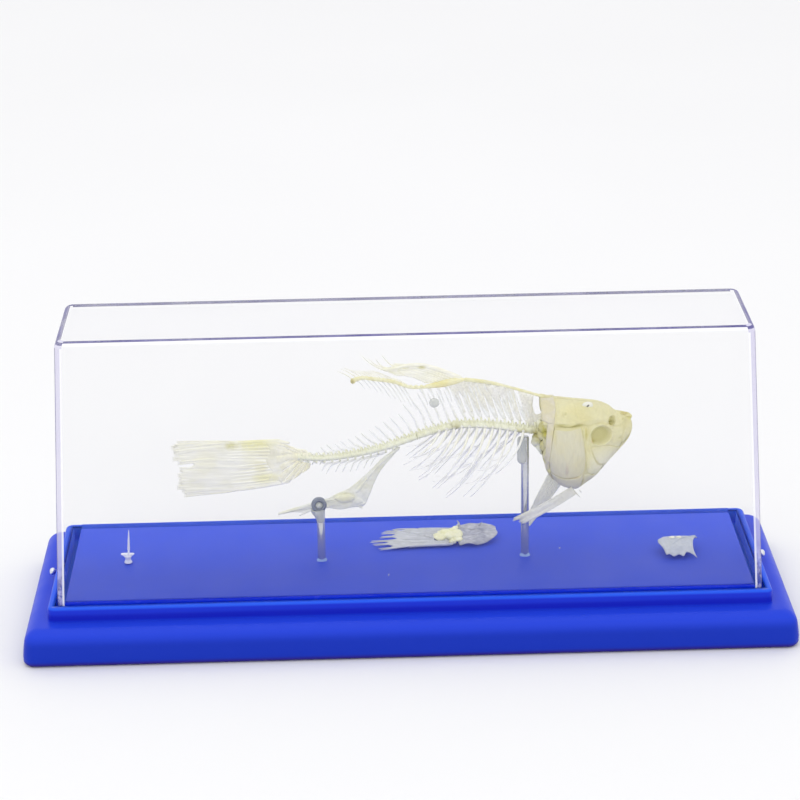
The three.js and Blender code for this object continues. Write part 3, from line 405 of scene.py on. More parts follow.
def _along(size: float | np.ndarray | tuple, t: np.ndarray) -> np.ndarray:
    """Size along a line, from one number, two ends or several even stops."""
    stops = np.atleast_1d(np.array(size, float))
    return np.interp(t, np.linspace(0, 1, len(stops)), stops) if len(stops) > 1 else t * 0 + stops


def edge_profile(rows: int, columns: int, least: float) -> np.ndarray:
    """Thickness of a plate over its grid as a share of the full one, least at its rim.

    Args:
        rows: Rows of the grid.
        columns: Columns of the grid.
        least: Share at the rim.

    Returns:
        The shares.
    """
    i = np.arange(rows)[:, None]
    j = np.arange(columns)[None]
    inward = np.minimum(np.minimum(i, rows - 1 - i), np.minimum(j, columns - 1 - j))
    return least + (1 - least) * np.minimum(inward / 2.0, 1) ** 0.6


# ------------------------------------------------------------------------------------ finishes


def linear(screen: Screen) -> Colour:
    """Colour given as it shows on a screen, 0 to 255, in the linear scale that shaders use."""
    shares = [c / 255 for c in screen]
    return (*[s / 12.92 if s <= 0.04045 else ((s + 0.055) / 1.055) ** 2.4 for s in shares], 1.0)


class Shader:
    """Node tree of a material with one Principled surface."""

    def __init__(self, name: str) -> None:
        """Makes the material and reads places in the frame of the part.

        Args:
            name: Name of the material.
        """
        self.material = bpy.data.materials.new(name)
        self.material.use_nodes = True
        self.tree = self.material.node_tree
        self.surface = self.tree.nodes["Principled BSDF"]
        self.place = self.wired("ShaderNodeTexCoord", "Object", {})

    def feed(self, sockets: bpy.types.bpy_prop_collection, values: dict) -> None:
        """Links outputs to sockets, or sets the sockets to plain values.

        Args:
            sockets: Sockets of one node.
            values: Output or plain value for each socket, by its name or number.
        """
        for key, value in values.items():
            if isinstance(value, bpy.types.NodeSocket):
                self.tree.links.new(value, sockets[key])
            else:
                sockets[key].default_value = value

    def wired(self, kind: str, output: str | int, values: dict,
              **settings: str) -> bpy.types.NodeSocket:
        """Makes a node and feeds it.

        Args:
            kind: Type of the node.
            output: Name or number of the output that is wanted.
            values: What its sockets are fed with.
            settings: Its properties by name.

        Returns:
            The output.
        """
        made = self.tree.nodes.new(kind)
        for key, value in settings.items():
            setattr(made, key, value)
        self.feed(made.inputs, values)
        return made.outputs[output]

    def grey(self, value: bpy.types.NodeSocket) -> bpy.types.NodeSocket:
        """Grey colour of a value."""
        return self.wired("ShaderNodeCombineColor", 0, {0: value, 1: value, 2: value})

    def noise(self, size: float, detail: float = 3.0,
              stretch: Point = (1.0, 1.0, 1.0)) -> bpy.types.NodeSocket:
        """Uneven value whose patches are about size millimetres across."""
        place = self.wired("ShaderNodeMapping", 0, {"Vector": self.place, "Scale": stretch})
        return self.wired("ShaderNodeTexNoise", "Fac", {
            "Vector": place, "Scale": 1 / (size * MM), "Detail": detail, "Roughness": 0.55})

    def spread(self, value: bpy.types.NodeSocket, low: float, high: float,
               to_low: float = 0.0, to_high: float = 1.0) -> bpy.types.NodeSocket:
        """Value stretched smoothly from one range to another."""
        return self.wired("ShaderNodeMapRange", "Result", {
            "Value": value, "From Min": low, "From Max": high, "To Min": to_low, "To Max": to_high},
            interpolation_type="SMOOTHSTEP")

    def blend(self, share: object, first: object, second: object,
              kind: str = "MIX") -> bpy.types.NodeSocket:
        """Colour between two colours."""
        return self.wired("ShaderNodeMix", 2, {0: share, 6: first, 7: second},
                          data_type="RGBA", blend_type=kind)

    def sum(self, kind: str, first: object, second: object) -> bpy.types.NodeSocket:
        """Arithmetic on two values."""
        return self.wired("ShaderNodeMath", 0, {0: first, 1: second}, operation=kind)

    def near(self, centre: Point, radii: Point) -> bpy.types.NodeSocket:
        """Value that falls from 1 at a point to 0 at the edge of an oval round it.

        Args:
            centre: The point.
            radii: Half sizes of the oval.

        Returns:
            Output of the value.
        """
        way = self.place
        for kind, sizes in (("SUBTRACT", centre), ("DIVIDE", radii)):
            way = self.wired("ShaderNodeVectorMath", 0, {0: way, 1: [size * MM for size in sizes]},
                             operation=kind)
        length = self.wired("ShaderNodeVectorMath", "Value", {0: way}, operation="LENGTH")
        return self.spread(length, 0.15, 1.0, 1.0, 0.0)

    def level(self, axis: str, low: float, high: float) -> bpy.types.NodeSocket:
        """Value that rises from 0 to 1 between two places along an axis, in millimetres."""
        place = self.wired("ShaderNodeSeparateXYZ", axis, {0: self.place})
        return self.spread(place, low * MM, high * MM)

    def uneven(self, size: float, middle: float, down: float, up: float) -> bpy.types.NodeSocket:
        """Value that wanders down and up from a middle one in patches of a size."""
        return self.spread(self.noise(size), 0.3, 0.7, middle - down, middle + up)

    def dressed(self, values: dict, height: bpy.types.NodeSocket,
                depth: float) -> bpy.types.Material:
        """Feeds the surface and gives it a fine relief.

        Args:
            values: What the sockets of the surface are fed with.
            height: Output of the height of the relief.
            depth: Its depth, in millimetres.

        Returns:
            The material.
        """
        normal = self.wired("ShaderNodeBump", 0, {"Strength": 1.0, "Distance": depth * MM,
                                                  "Height": height})
        self.feed(self.surface.inputs, {**values, "Normal": normal})
        return self.material


class Finish:
    """Something that gives a material, made once and shared."""

    made: dict[str, bpy.types.Material] = {}

    def material(self) -> bpy.types.Material:
        """The material of the finish.

        Returns:
            The material, made once.
        """
        if self.name not in Finish.made:
            Finish.made[self.name] = self.build(Shader(self.name))
        return Finish.made[self.name]

    def build(self, shader: Shader) -> bpy.types.Material:
        """Fills the node tree.

        Args:
            shader: The new node tree.

        Returns:
            Its material.
        """
        raise NotImplementedError


@dataclass(frozen=True)
class Stain:
    """An oval patch of another colour on a bone."""

    centre: Point
    radii: Point
    colour: Screen
    strength: float = 0.8


@dataclass(frozen=True)
class BoneFinish(Finish):
    """Dry bone: uneven colour, painted shade in hollows, fine grain, and named stains."""

    name: str
    colour: Screen
    tint: Screen
    hollow_colour: Screen
    patch: float = 9.0
    tint_share: float = 0.7
    hollow_share: float = 0.92
    grain: Point = (1.0, 1.0, 1.0)
    relief: float = 0.05
    roughness: float = 0.55
    specular: float = 0.35
    alpha: float = 1.0
    streaks: float = 0.0
    glow: float = 0.0
    glow_reach: Point = (1.0, 0.85, 0.6)
    glow_depth: float = 1.2
    stains: tuple[Stain, ...] = ()

    def build(self, shader: Shader) -> bpy.types.Material:
        """Fills the node tree.

        Args:
            shader: The new node tree.

        Returns:
            Its material.
        """
        large = shader.spread(shader.noise(self.patch, 4), 0.38, 0.66, 0.0, self.tint_share)
        colour = shader.blend(large, linear(self.colour), linear(self.tint))
        fine = shader.spread(shader.noise(1.1, 4, self.grain), 0.3, 0.7, 0.95, 1.03)
        colour = shader.blend(1.0, colour, shader.grey(fine), "MULTIPLY")
        for stain in self.stains:
            edge = shader.sum("MULTIPLY", shader.near(stain.centre, stain.radii),
                              shader.spread(shader.noise(1.6), 0.3, 0.55, 0.55, 1.0))
            share = shader.sum("MULTIPLY", edge, stain.strength)
            colour = shader.blend(share, colour, linear(stain.colour))
        # Painted shade: the hollow value of the mesh darkens the colour towards the hollow colour
        # in recesses, grooves and at plate rims.
        depth = shader.wired("ShaderNodeAttribute", "Fac", {}, attribute_name="hollow")
        values = {
            "Base Color": shader.blend(shader.spread(depth, 0.0, 1.0, 0.0, self.hollow_share),
                                       colour, linear(self.hollow_colour)),
            "Roughness": shader.uneven(2.4, self.roughness, 0.09, 0.12),
            "Specular IOR Level": self.specular}
        if self.glow:
            values |= {"Subsurface Weight": self.glow, "Subsurface Radius": self.glow_reach,
                       "Subsurface Scale": self.glow_depth * MM}
        if self.alpha < 1:
            values["Alpha"] = shader.spread(
                shader.noise(0.8, 3, self.grain), 0.35, 0.65, self.alpha - self.streaks,
                min(self.alpha + self.streaks, 1.0))
        grain = shader.sum("ADD", shader.noise(0.55, 4, self.grain),
                           shader.sum("MULTIPLY", shader.noise(3.0), 1.6))
        return shader.dressed(values, grain, self.relief)


@dataclass(frozen=True)
class PlasticFinish(Finish):
    """Moulded plastic with a faint orange peel and slightly uneven colour, and optional bands by
    height and a lighter rear that paint light and shade onto it.
    """

    name: str
    colour: Screen
    tint: Screen
    roughness: float
    relief: float
    peel: float = 0.9
    specular: float = 0.5
    bands: tuple[tuple[float, float, Screen], ...] = ()
    rear: Screen | None = None
    rear_light_reach: tuple[float, float] = (-24, 34)

    def build(self, shader: Shader) -> bpy.types.Material:
        """Fills the node tree.

        Args:
            shader: The new node tree.

        Returns:
            Its material.
        """
        share = shader.spread(shader.noise(60), 0.35, 0.65)
        colour = shader.blend(share, linear(self.colour), linear(self.tint))
        # Painted light and shade: bands of colour by height.
        for low, high, above in self.bands:
            colour = shader.blend(shader.level("Z", low, high), colour, linear(above))
        # Painted light: lighter towards the rear.
        if self.rear:
            colour = shader.blend(shader.level("Y", *self.rear_light_reach), colour, linear(self.rear))
        rough = shader.spread(shader.noise(14, 4), 0.3, 0.7, self.roughness - 0.04,
                              self.roughness + 0.06)
        return shader.dressed({"Base Color": colour, "Roughness": rough,
                               "Specular IOR Level": self.specular},
                              shader.noise(self.peel, 2), self.relief)


@dataclass(frozen=True)
class ClearFinish(Finish):
    """Clear plastic or glue: nearly unseen face on, denser where it is seen edge on."""

    name: str
    colour: Screen
    deep: Screen
    face_alpha: float
    edge_alpha: float
    roughness: float = 0.06
    relief: float = 0.002
    bending: float = 1.49
    foot: tuple[float, float] | None = None

    def build(self, shader: Shader) -> bpy.types.Material:
        """Fills the node tree.

        Args:
            shader: The new node tree.

        Returns:
            Its material.
        """
        facing = shader.wired("ShaderNodeLayerWeight", "Facing", {"Blend": 0.35})
        share = shader.spread(facing, 0.1, 0.95, self.face_alpha, self.edge_alpha)
        cloud = shader.spread(shader.noise(24), 0.3, 0.7, 0.88, 1.1)
        tone = shader.spread(shader.noise(18, 2), 0.35, 0.65)
        # Painted refraction: towards the foot the tone turns to the deep colour, the blue base seen
        # through the case's corners.
        if self.foot:
            tone = shader.sum("SUBTRACT", 1.0, shader.level("Z", *self.foot))
            tone = shader.sum("MULTIPLY", tone, shader.spread(shader.noise(3), 0.4, 0.6))
        rough = shader.spread(shader.noise(9), 0.3, 0.7, self.roughness * 0.7,
                              self.roughness * 1.4)
        return shader.dressed({
            "Alpha": shader.sum("MULTIPLY", share, cloud), "Roughness": rough, "IOR": self.bending,
            "Base Color": shader.blend(tone, linear(self.colour), linear(self.deep))},
            shader.noise(6, 2), self.relief)


@dataclass(frozen=True)
class MetalFinish(Finish):
    """Drawn steel with fine lines along it."""

    name: str
    colour: Screen
    roughness: float = 0.22
    metallic: float = 1.0

    def build(self, shader: Shader) -> bpy.types.Material:
        """Fills the node tree.

        Args:
            shader: The new node tree.

        Returns:
            Its material.
        """
        lines = shader.noise(0.5, 3, (1.0, 1.0, 0.06))
        dull = shader.spread(shader.noise(5), 0.3, 0.7, 0.9, 1.0)
        rough = shader.spread(lines, 0.3, 0.7, self.roughness - 0.02, self.roughness + 0.02)
        return shader.dressed({
            "Base Color": shader.blend(1.0, linear(self.colour), shader.grey(dull), "MULTIPLY"),
            "Metallic": self.metallic, "Roughness": rough}, lines, 0.0002)


# ------------------------------------------------------------------------------------ colours


class Bones:
    """Finishes of the bones."""

    STAINS = (Stain((86.6, -3.6, 82.5), (3.0, 3.4, 0.7), (190, 174, 84), 0.8),
        # Painted shade: the dark olive line along the groove between the gill cover and the skull
        # roof.
        Stain((60.5, -9.0, 80.6), (5.0, 6.0, 1.0), (170, 162, 76), 0.7),
        Stain((73.3, -9.0, 73.4), (0.9, 6.0, 1.0), (206, 140, 60), 0.7),
        Stain((88.0, -2.5, 80.6), (1.8, 4.0, 1.4), (226, 219, 140), 0.8),
        Stain((65.5, -9.0, 57.4), (5.0, 6.0, 0.5), (214, 190, 140), 0.6),
        Stain((63.2, -11.0, 61.5), (1.0, 5.0, 5.0), (205, 192, 172), 0.6),
        Stain((58.4, -9.0, 76.0), (1.2, 6.0, 7.0), (216, 208, 140), 0.55),
        Stain((70.6, -10.0, 76.5), (1.1, 6.0, 4.0), (196, 188, 110), 0.7),
        Stain((64.0, -9.0, 86.0), (6.0, 8.0, 2.2), (232, 224, 170), 0.6),
        Stain((61.6, -11.0, 84.5), (0.8, 5.0, 1.5), (200, 190, 130), 0.5),
        Stain((64.0, -9.0, 79.9), (9.0, 8.0, 1.5), (218, 211, 138), 0.65),
        Stain((57.6, -9.0, 77.5), (1.6, 6.0, 5.0), (218, 212, 146), 0.5),)
    SKULL = BoneFinish("skull_bone", (226, 221, 178), (221, 213, 156), (204, 199, 142), patch=12,
        glow=0.12, relief=0.07,
        stains=STAINS + (Stain((80.0, -12.0, 62.5), (15.0, 16.0, 11.0), (250, 247, 218), 0.85),
        Stain((80.0, 7.0, 62.5), (15.0, 16.0, 11.0), (250, 247, 218), 0.85)))
    COVER = BoneFinish("gill_cover_bone", (221, 217, 190), (222, 216, 176), (200, 193, 136),
        patch=9, tint_share=0.6, grain=(2.2, 1.0, 0.5), glow=0.12, relief=0.06, stains=STAINS)
    SHOULDER = BoneFinish("shoulder_bone", (220, 214, 194), (218, 210, 166), (176, 166, 100),
        patch=5, relief=0.06, stains=STAINS)
    SEAM = BoneFinish("seam_bone", (220, 214, 168), (214, 207, 150), (176, 168, 96), patch=4,
        relief=0.09, roughness=0.62,
        # Painted shade: the same dark olive line along the groove under the edge of the roof.
        stains=(Stain((64.5, -11.0, 80.2), (8.0, 6.0, 1.1), (146, 138, 54), 0.95),
        Stain((64.5, 6.0, 80.2), (8.0, 6.0, 1.1), (146, 138, 54), 0.95)))
    INNER = BoneFinish("inner_bone", (222, 218, 176), (206, 200, 138), (184, 177, 110), patch=3,
        relief=0.11, roughness=0.62,
        stains=(Stain((54.6, -6.0, 76.4), (3.0, 8.0, 4.0), (196, 190, 80), 0.95),))
    COLUMN = BoneFinish("column_bone", (241, 242, 222), (232, 232, 202), (216, 215, 176), patch=5,
        tint_share=0.8, relief=0.05,
        stains=(Stain((19.4, -3.5, 78.6), (2.6, 3.0, 2.4), (160, 152, 76), 0.9),
        Stain((51.6, -3.5, 74.0), (4.0, 5.0, 5.2), (172, 164, 80), 0.85),
        Stain((46.0, -3.5, 75.8), (5.0, 4.0, 1.8), (196, 190, 118), 0.6)))
    SPINE = BoneFinish("spine_bone", (250, 251, 249), (245, 245, 236), (230, 230, 214), patch=6,
        alpha=0.96, streaks=0.04, relief=0.02)
    RIB = BoneFinish("rib_bone", (252, 252, 247), (248, 247, 241), (234, 233, 222), patch=6,
        alpha=0.96, streaks=0.04, relief=0.02, glow=0.5, glow_reach=(1.0, 1.0, 1.0),
        # Painted counter-reflection: a warm tint over the upper ribs cancels the blue light that
        # the base reflects onto them.
        stains=(Stain((26.0, -2.5, 72.5), (34.0, 16.0, 9.0), (255, 252, 222), 0.95),))
    FIN_FOOT = BoneFinish("fin_foot_bone", (244, 242, 208), (240, 234, 182), (214, 206, 138),
        patch=5, relief=0.05,
        stains=(Stain((15.0, -2.5, 96.4), (7.5, 3.0, 2.4), (234, 222, 140), 0.7),
        Stain((14.0, -3.5, 95.2), (5.0, 3.0, 0.6), (228, 200, 118), 0.4),
        Stain((-20.8, -2.5, 98.2), (1.4, 3.0, 1.6), (150, 132, 74), 0.8)))
    NAPE = BoneFinish("nape_ridge_bone", (240, 238, 204), (234, 229, 172), (214, 208, 142),
        patch=4, relief=0.04)
    FILM = BoneFinish("nape_film", (252, 251, 244), (247, 245, 228), (236, 232, 206), patch=6,
        alpha=0.86, streaks=0.06, relief=0.01)
    FIN_RAY = BoneFinish("fin_ray_bone", (252, 251, 238), (247, 245, 220), (232, 228, 188),
        patch=7, grain=(0.3, 1.0, 1.6), relief=0.015,
        stains=(Stain((6.6, -2.5, 103.4), (2.6, 2.0, 1.3), (206, 200, 126), 0.7),
        Stain((-60.0, -2.5, 72.6), (12.0, 3.0, 4.0), (236, 232, 158), 0.7),
        Stain((-69.4, -2.5, 72.0), (3.4, 2.0, 2.8), (216, 211, 136), 0.7),
        Stain((-57.9, -2.5, 62.0), (3.6, 2.0, 2.4), (224, 218, 164), 0.5),
        Stain((-80.7, -2.5, 60.0), (4.4, 2.0, 2.0), (232, 227, 176), 0.5),
        Stain((-55.0, -2.5, 68.2), (8.0, 2.0, 3.4), (230, 226, 196), 0.6),
        Stain((-56.0, -2.5, 58.0), (9.0, 2.0, 3.0), (238, 234, 170), 0.6)))
    WEB = BoneFinish("fin_web", (251, 250, 238), (246, 244, 221), (230, 226, 188), patch=9,
        alpha=0.97, streaks=0.03, grain=(0.12, 1.0, 1.8), relief=0.01,
        stains=(Stain((-60.0, -2.5, 72.2), (12.0, 3.0, 4.6), (236, 232, 158), 0.7),
        Stain((-55.0, -2.5, 68.2), (8.0, 3.0, 3.4), (230, 226, 196), 0.6),
        Stain((-56.0, -2.5, 58.0), (9.0, 3.0, 3.6), (238, 234, 170), 0.6),
        Stain((-58.0, -2.5, 63.0), (6.0, 3.0, 4.0), (232, 227, 176), 0.5),
        Stain((-69.4, -2.5, 72.0), (3.4, 2.0, 2.8), (216, 211, 136), 0.7)))
    BLADE = BoneFinish("fin_blade", (246, 245, 226), (241, 238, 200), (226, 221, 168), patch=7,
        alpha=0.96, streaks=0.04, grain=(0.3, 1.0, 1.6), relief=0.015,
        stains=(Stain((6.6, -2.5, 103.4), (2.8, 2.0, 1.4), (202, 197, 122), 0.7),
        Stain((14.0, -2.5, 98.6), (8.0, 2.0, 1.8), (240, 232, 170), 0.6)))
    FLIPPER = BoneFinish("pectoral_bone", (232, 232, 226), (224, 223, 210), (204, 202, 184),
        patch=8, alpha=0.95, streaks=0.03, relief=0.02)
    # Painted light: the far fin is a paler, warmer copy of the near fin's bone, offsetting the
    # shade of the head over it.
    LIT_FAR_FLIPPER = BoneFinish("far_pectoral_bone_painted_light", (252, 252, 236), (248, 247, 226),
        (226, 224, 196), patch=8, alpha=0.95, streaks=0.03, relief=0.02)
    FAN = BoneFinish("fan_plate_bone", (250, 248, 230), (245, 241, 208), (232, 227, 186), patch=6,
        alpha=0.97, streaks=0.03, relief=0.015)
    ANAL = BoneFinish("anal_fin_bone", (240, 241, 232), (234, 233, 208), (200, 201, 178), patch=8,
        alpha=0.95, streaks=0.04, relief=0.02, grain=(0.5, 1.0, 1.0),
        stains=(Stain((-25.0, -3.5, 48.6), (5.0, 3.0, 2.8), (230, 227, 182), 0.5),
        Stain((-33.0, -2.5, 47.0), (5.0, 3.0, 1.6), (204, 207, 194), 0.7)))
    PELVIC = BoneFinish("pelvic_bone", (208, 211, 218), (200, 202, 206), (140, 142, 164), patch=5,
        alpha=0.92, streaks=0.06, relief=0.04, grain=(0.25, 1.2, 1.0))
    GIRDLE = BoneFinish("girdle_bone", (184, 186, 198), (214, 216, 220), (136, 138, 164), patch=3,
        tint_share=0.9, alpha=0.8, streaks=0.1, relief=0.05, grain=(0.4, 1.6, 1.0),
        stains=(Stain((30.0, 13.6, 25.4), (3.4, 2.4, 2.6), (132, 136, 160), 0.6),))
    # Its dark blue hollow colour is a painted shadow, worn wholly by one small lump beside the
    # yellow lumps.
    PELVIC_LUMP = BoneFinish("pelvic_lump_bone_and_painted_shadow", (240, 240, 214), (231, 229, 186), (66, 70, 120),
        patch=3, relief=0.1)
    LOOSE = BoneFinish("loose_bone", (188, 194, 208), (204, 209, 216), (142, 149, 176), patch=4,
        alpha=0.92, streaks=0.05, relief=0.07)
    LOOSE_SPINE = BoneFinish("loose_vertebra_bone", (236, 238, 250), (244, 244, 248),
        (200, 204, 222), patch=4, alpha=0.95, streaks=0.03, relief=0.05)


class Makings:
    """Finishes of the stand and the case."""

    # Painted light and shade by height: the violet under 1 mm is a painted contact shadow along the
    # foot, the lighter blue from 8 to 13.5 mm lightens the plinth's rounded top where light falls
    # on it, the darker blue from 15 to 16.2 mm is painted shade at the foot of the rim, and the
    # rim's face lightens upwards to a painted highlight on its top from 19.8 to 20.7 mm.
    MOULDING = PlasticFinish("blue_moulding", (42, 27, 140), (40, 26, 136), 0.36, 0.003, 1.6, 0.14,
        ((1.0, 2.8, (15, 50, 184)), (8.0, 13.5, (34, 66, 214)), (15.02, 16.2, (20, 36, 190)),
        (17.2, 19.0, (24, 52, 208)), (19.8, 20.7, (34, 90, 234))))
    # Painted light: the groove's walls are a brighter blue than the moulding, offsetting the shade
    # deep in the groove.
    GROOVE = PlasticFinish("blue_groove", (44, 108, 252), (48, 112, 254), 0.5, 0.003, 0.9, 0.2)
    # Painted light: the panel turns a lighter blue towards its rear, offsetting the shade there.
    PANEL = PlasticFinish("blue_panel", (50, 72, 190), (56, 78, 196), 0.55, 0.012, 0.8, 0.25, (),
        (57, 86, 221))
    # Painted shade: the panel's sides and underside are a deeper, more saturated blue than its top.
    PANEL_SIDE = PlasticFinish("blue_panel_side", (16, 52, 232), (18, 56, 238), 0.5, 0.003, 0.9,
        0.2)
    WALL = ClearFinish("clear_wall", (196, 196, 208), (190, 190, 204), 0.014, 0.03)
    LID = ClearFinish("clear_lid", (214, 214, 226), (206, 206, 222), 0.03, 0.05)
    # Painted refraction: the dark violet lines that the rounded edges of the case show.
    EDGE = ClearFinish("clear_edge_painted_refraction", (66, 58, 132), (84, 78, 150), 0.84, 0.95, 0.3)
    # Painted refraction: paler lines on the rounded edges.
    PALE_EDGE = ClearFinish("clear_pale_edge_painted_refraction", (96, 92, 138), (112, 108, 156), 0.72, 0.85, 0.3)
    # Painted refraction: pale on the front corners, turning to the dark blue of the base seen
    # through them towards the foot.
    CORNER = ClearFinish("clear_corner_painted_refraction", (206, 202, 232), (44, 52, 142), 0.66, 0.82, foot=(20, 44))
    # Painted highlight: white strips on the front corners and under the front edge of the lid.
    GLINT = ClearFinish("clear_glint", (250, 250, 255), (252, 252, 255), 0.8, 0.9)
    # Painted shade: a deep blue band on the foot of the front wall.
    DEEP_FOOT = ClearFinish("clear_deep_foot", (18, 54, 226), (20, 58, 230), 0.7, 0.85, 0.2)
    # Painted light: a bright blue band on the foot of the back and end walls.
    BRIGHT_FOOT = ClearFinish("clear_bright_foot", (96, 136, 255), (90, 128, 252), 0.85, 0.92, 0.2)
    GLUE = ClearFinish("grey_glue", (224, 226, 220), (206, 210, 206), 0.66, 0.9, 0.18, 0.03)
    BEAD = ClearFinish("dark_bead", (84, 94, 118), (140, 148, 164), 0.8, 0.95, 0.12, 0.03)
    CLEAR_GLUE = ClearFinish("clear_glue", (176, 206, 255), (160, 190, 252), 0.6, 0.9, 0.1, 0.01)
    # The drops are glue, but their near-opaque white is a painted highlight.
    DROP = ClearFinish("glue_drop", (250, 250, 240), (240, 238, 214), 0.85, 1.0, 0.1)
    FLECK = PlasticFinish("dark_fleck", (48, 44, 36), (70, 62, 48), 0.6, 0.002)
    STEEL = MetalFinish("drawn_steel", (206, 208, 214), metallic=0.76)
    SCREW = MetalFinish("screw_steel", (232, 234, 240), 0.34)


# ------------------------------------------------------------------------------------ head


@dataclass
class HeadForm:
    """The smooth form of the head: heights of its outlines and its half width, by x."""

    top: Stops = ((53.0, 88.8), (55.5, 88.9), (58.0, 89.0), (65.0, 88.2), (75.5, 87.0),
                  (79.9, 85.3), (83.0, 82.9), (87.0, 82.1), (88.6, 80.3), (89.7, 77.8))
    bottom: Stops = ((53.0, 67.0), (54.6, 63.0), (56.0, 58.0), (59.5, 53.2), (63.1, 50.8),
                     (67.3, 50.0), (71.1, 52.4), (75.1, 55.4), (79.8, 61.0), (84.9, 67.1),
                     (88.2, 71.4), (89.7, 75.8))
    half: Stops = ((53.0, 8.0), (54.6, 8.7), (58.0, 9.5), (64.0, 9.7), (70.0, 8.9), (76.0, 7.5),
                   (82.0, 5.4), (86.0, 4.2), (88.6, 2.8), (89.7, 1.1))
    roof_power: float = 0.72
    throat_power: float = 1.2
    orbit: tuple[float, float, float, float, float] = (76.6, 75.4, 4.15, 3.75, 2.7)
    nostril: tuple[float, float, float, float, float] = (81.1, 80.5, 1.45, 1.9, 1.5)
    # The hole low at the back of the eye socket, and pits: x, z, radius and depth.
    pits: tuple = ((73.9, 72.9, 0.7, 1.2), (81.2, 80.0, 0.6, 1.0), (85.6, 80.6, 0.5, 0.3),
                   (62.6, 84.6, 0.6, 0.25), (84.3, 73.0, 0.45, 0.3))
    # Ridges and grooves of the side view: line, half width, height and darkness, the darkness being
    # painted shade in the groove.
    lines: tuple = (
        ([(69.3, 78.4), (70.0, 72.0), (71.2, 66.5), (71.8, 61.6)], 0.7, 0.55, 0.12),
        ([(57.3, 79.0), (56.8, 72.0), (56.2, 65.0)], 0.6, 0.25, 0.0),
        ([(60.0, 81.6), (66.0, 81.0), (71.5, 82.3), (76.6, 81.6)], 0.8, 0.35, 0.0),
        ([(66.0, 88.4), (66.6, 84.6), (68.4, 82.0)], 0.28, -0.12, 0.14),
        ([(59.4, 89.0), (60.2, 85.0), (61.4, 81.4)], 0.28, -0.12, 0.14),
        ([(76.5, 87.0), (77.6, 84.4), (79.0, 82.6)], 0.25, -0.1, 0.12),
        ([(83.2, 82.6), (83.8, 80.4), (84.4, 78.4)], 0.25, -0.12, 0.16),
        ([(72.4, 71.2), (77.0, 66.4), (79.4, 63.0)], 0.24, -0.08, 0.1),
        ([(79.6, 72.4), (82.6, 70.4), (84.4, 69.4)], 0.24, -0.08, 0.1),
        ([(80.6, 76.0), (83.0, 75.4), (85.6, 76.6)], 0.24, -0.08, 0.12),
        ([(60.6, 78.2), (61.6, 70.0), (63.2, 61.0)], 0.8, 0.14, 0.0),
        ([(66.6, 78.4), (66.0, 72.0), (64.4, 64.0), (63.4, 59.0)], 0.5, -0.12, 0.12),
        ([(68.0, 77.4), (67.6, 70.0), (66.6, 62.0)], 0.45, 0.12, 0.0),
    )

    def angle_at(self, x: np.ndarray, z: np.ndarray) -> np.ndarray:
        """Angle round the head at which its side passes a height."""
        top, bottom = curve_value(self.top, x), curve_value(self.bottom, x)
        return np.arcsin(np.clip((2 * z - top - bottom) / (top - bottom), -0.9998, 1.0))

    def _bare(self, x: np.ndarray, angle: np.ndarray) -> np.ndarray:
        """Points of the left side of the form.

        Args:
            x: Places along the head.
            angle: Angles round it.

        Returns:
            The points.
        """
        top, bottom = curve_value(self.top, x), curve_value(self.bottom, x)
        power = np.where(angle > 0, self.roof_power, self.throat_power)
        y = curve_value(self.half, x) * np.maximum(np.cos(angle), 0) ** power
        return np.stack([x, y, (top + bottom) / 2 + (top - bottom) / 2 * np.sin(angle)], axis=-1)

    def point(self, x: np.ndarray, angle: np.ndarray, side: float,
              lift: np.ndarray | float) -> np.ndarray:
        """Points on or off the form.

        Args:
            x: Places along the head.
            angle: Angles round it, from the throat at -90 degrees to the roof at 90.
            side: 1 for the left side and -1 for the right.
            lift: Distance out from the form.

        Returns:
            The points.
        """
        step, most = 1e-3, 1.545
        safe = np.clip(angle, -most, most)
        along = self._bare(x + step, safe) - self._bare(x - step, safe)
        around = self._bare(x, safe + step) - self._bare(x, safe - step)
        out = np.cross(around, along)
        out /= np.linalg.norm(out, axis=-1, keepdims=True) + TINY
        found = self._bare(x, angle) + out * np.asarray(lift)[..., None]
        found[..., 1] = np.maximum(found[..., 1], 0.0) * side
        return found

    def relief(self, x: np.ndarray, z: np.ndarray, seed: int) -> tuple[np.ndarray, np.ndarray]:
        """Carving of the form.

        Args:
            x: Places along the head.
            z: Heights.
            seed: Seed of its slight unevenness.

        Returns:
            How far the surface is lifted, and how deep it lies in a hollow.
        """
        lift = 0.07 * ripple(np.stack([x, z, x * 0], axis=-1), 5.0, seed)
        lift += 0.04 * ripple(np.stack([x, z, x * 0], axis=-1), 1.6, seed + 1)
        # The hollow value is painted shade: it darkens the eye socket, the nostril, the pits and
        # the grooves.
        hollow = np.zeros_like(lift)
        for cx, cz, rx, rz, depth in (self.orbit, self.nostril):
            r = np.hypot((x - cx) / rx, (z - cz) / rz)
            bowl = np.clip(1.04 - r ** 3.2, 0, 1) ** 0.8
            lift += -depth * bowl + 0.3 * np.exp(-((r - 1.12) / 0.1) ** 2)
            hollow += np.clip(bowl * 1.3, 0, 1) * 0.85
        for cx, cz, r, depth in self.pits:
            pit = np.exp(-((x - cx) ** 2 + (z - cz) ** 2) / r ** 2)
            lift -= depth * pit
            hollow += pit * 0.8
        for line, width, height, dark in self.lines:
            near = np.exp(-(line_distance(x, z, line) / width) ** 2)
            lift += height * near
            hollow += dark * near
        return lift, np.clip(hollow, 0, 1)


@dataclass
class HeadPlate:
    """One plate bone of the side of the head: its four edges as [x, z] in the side view."""

    name: str
    node: str
    finish: BoneFinish
    slot: str
    low: list
    high: list
    rear: list
    front: list
    thickness: float = 0.9
    raise_by: float = 0.0
    grid: tuple[int, int] = (60, 60)


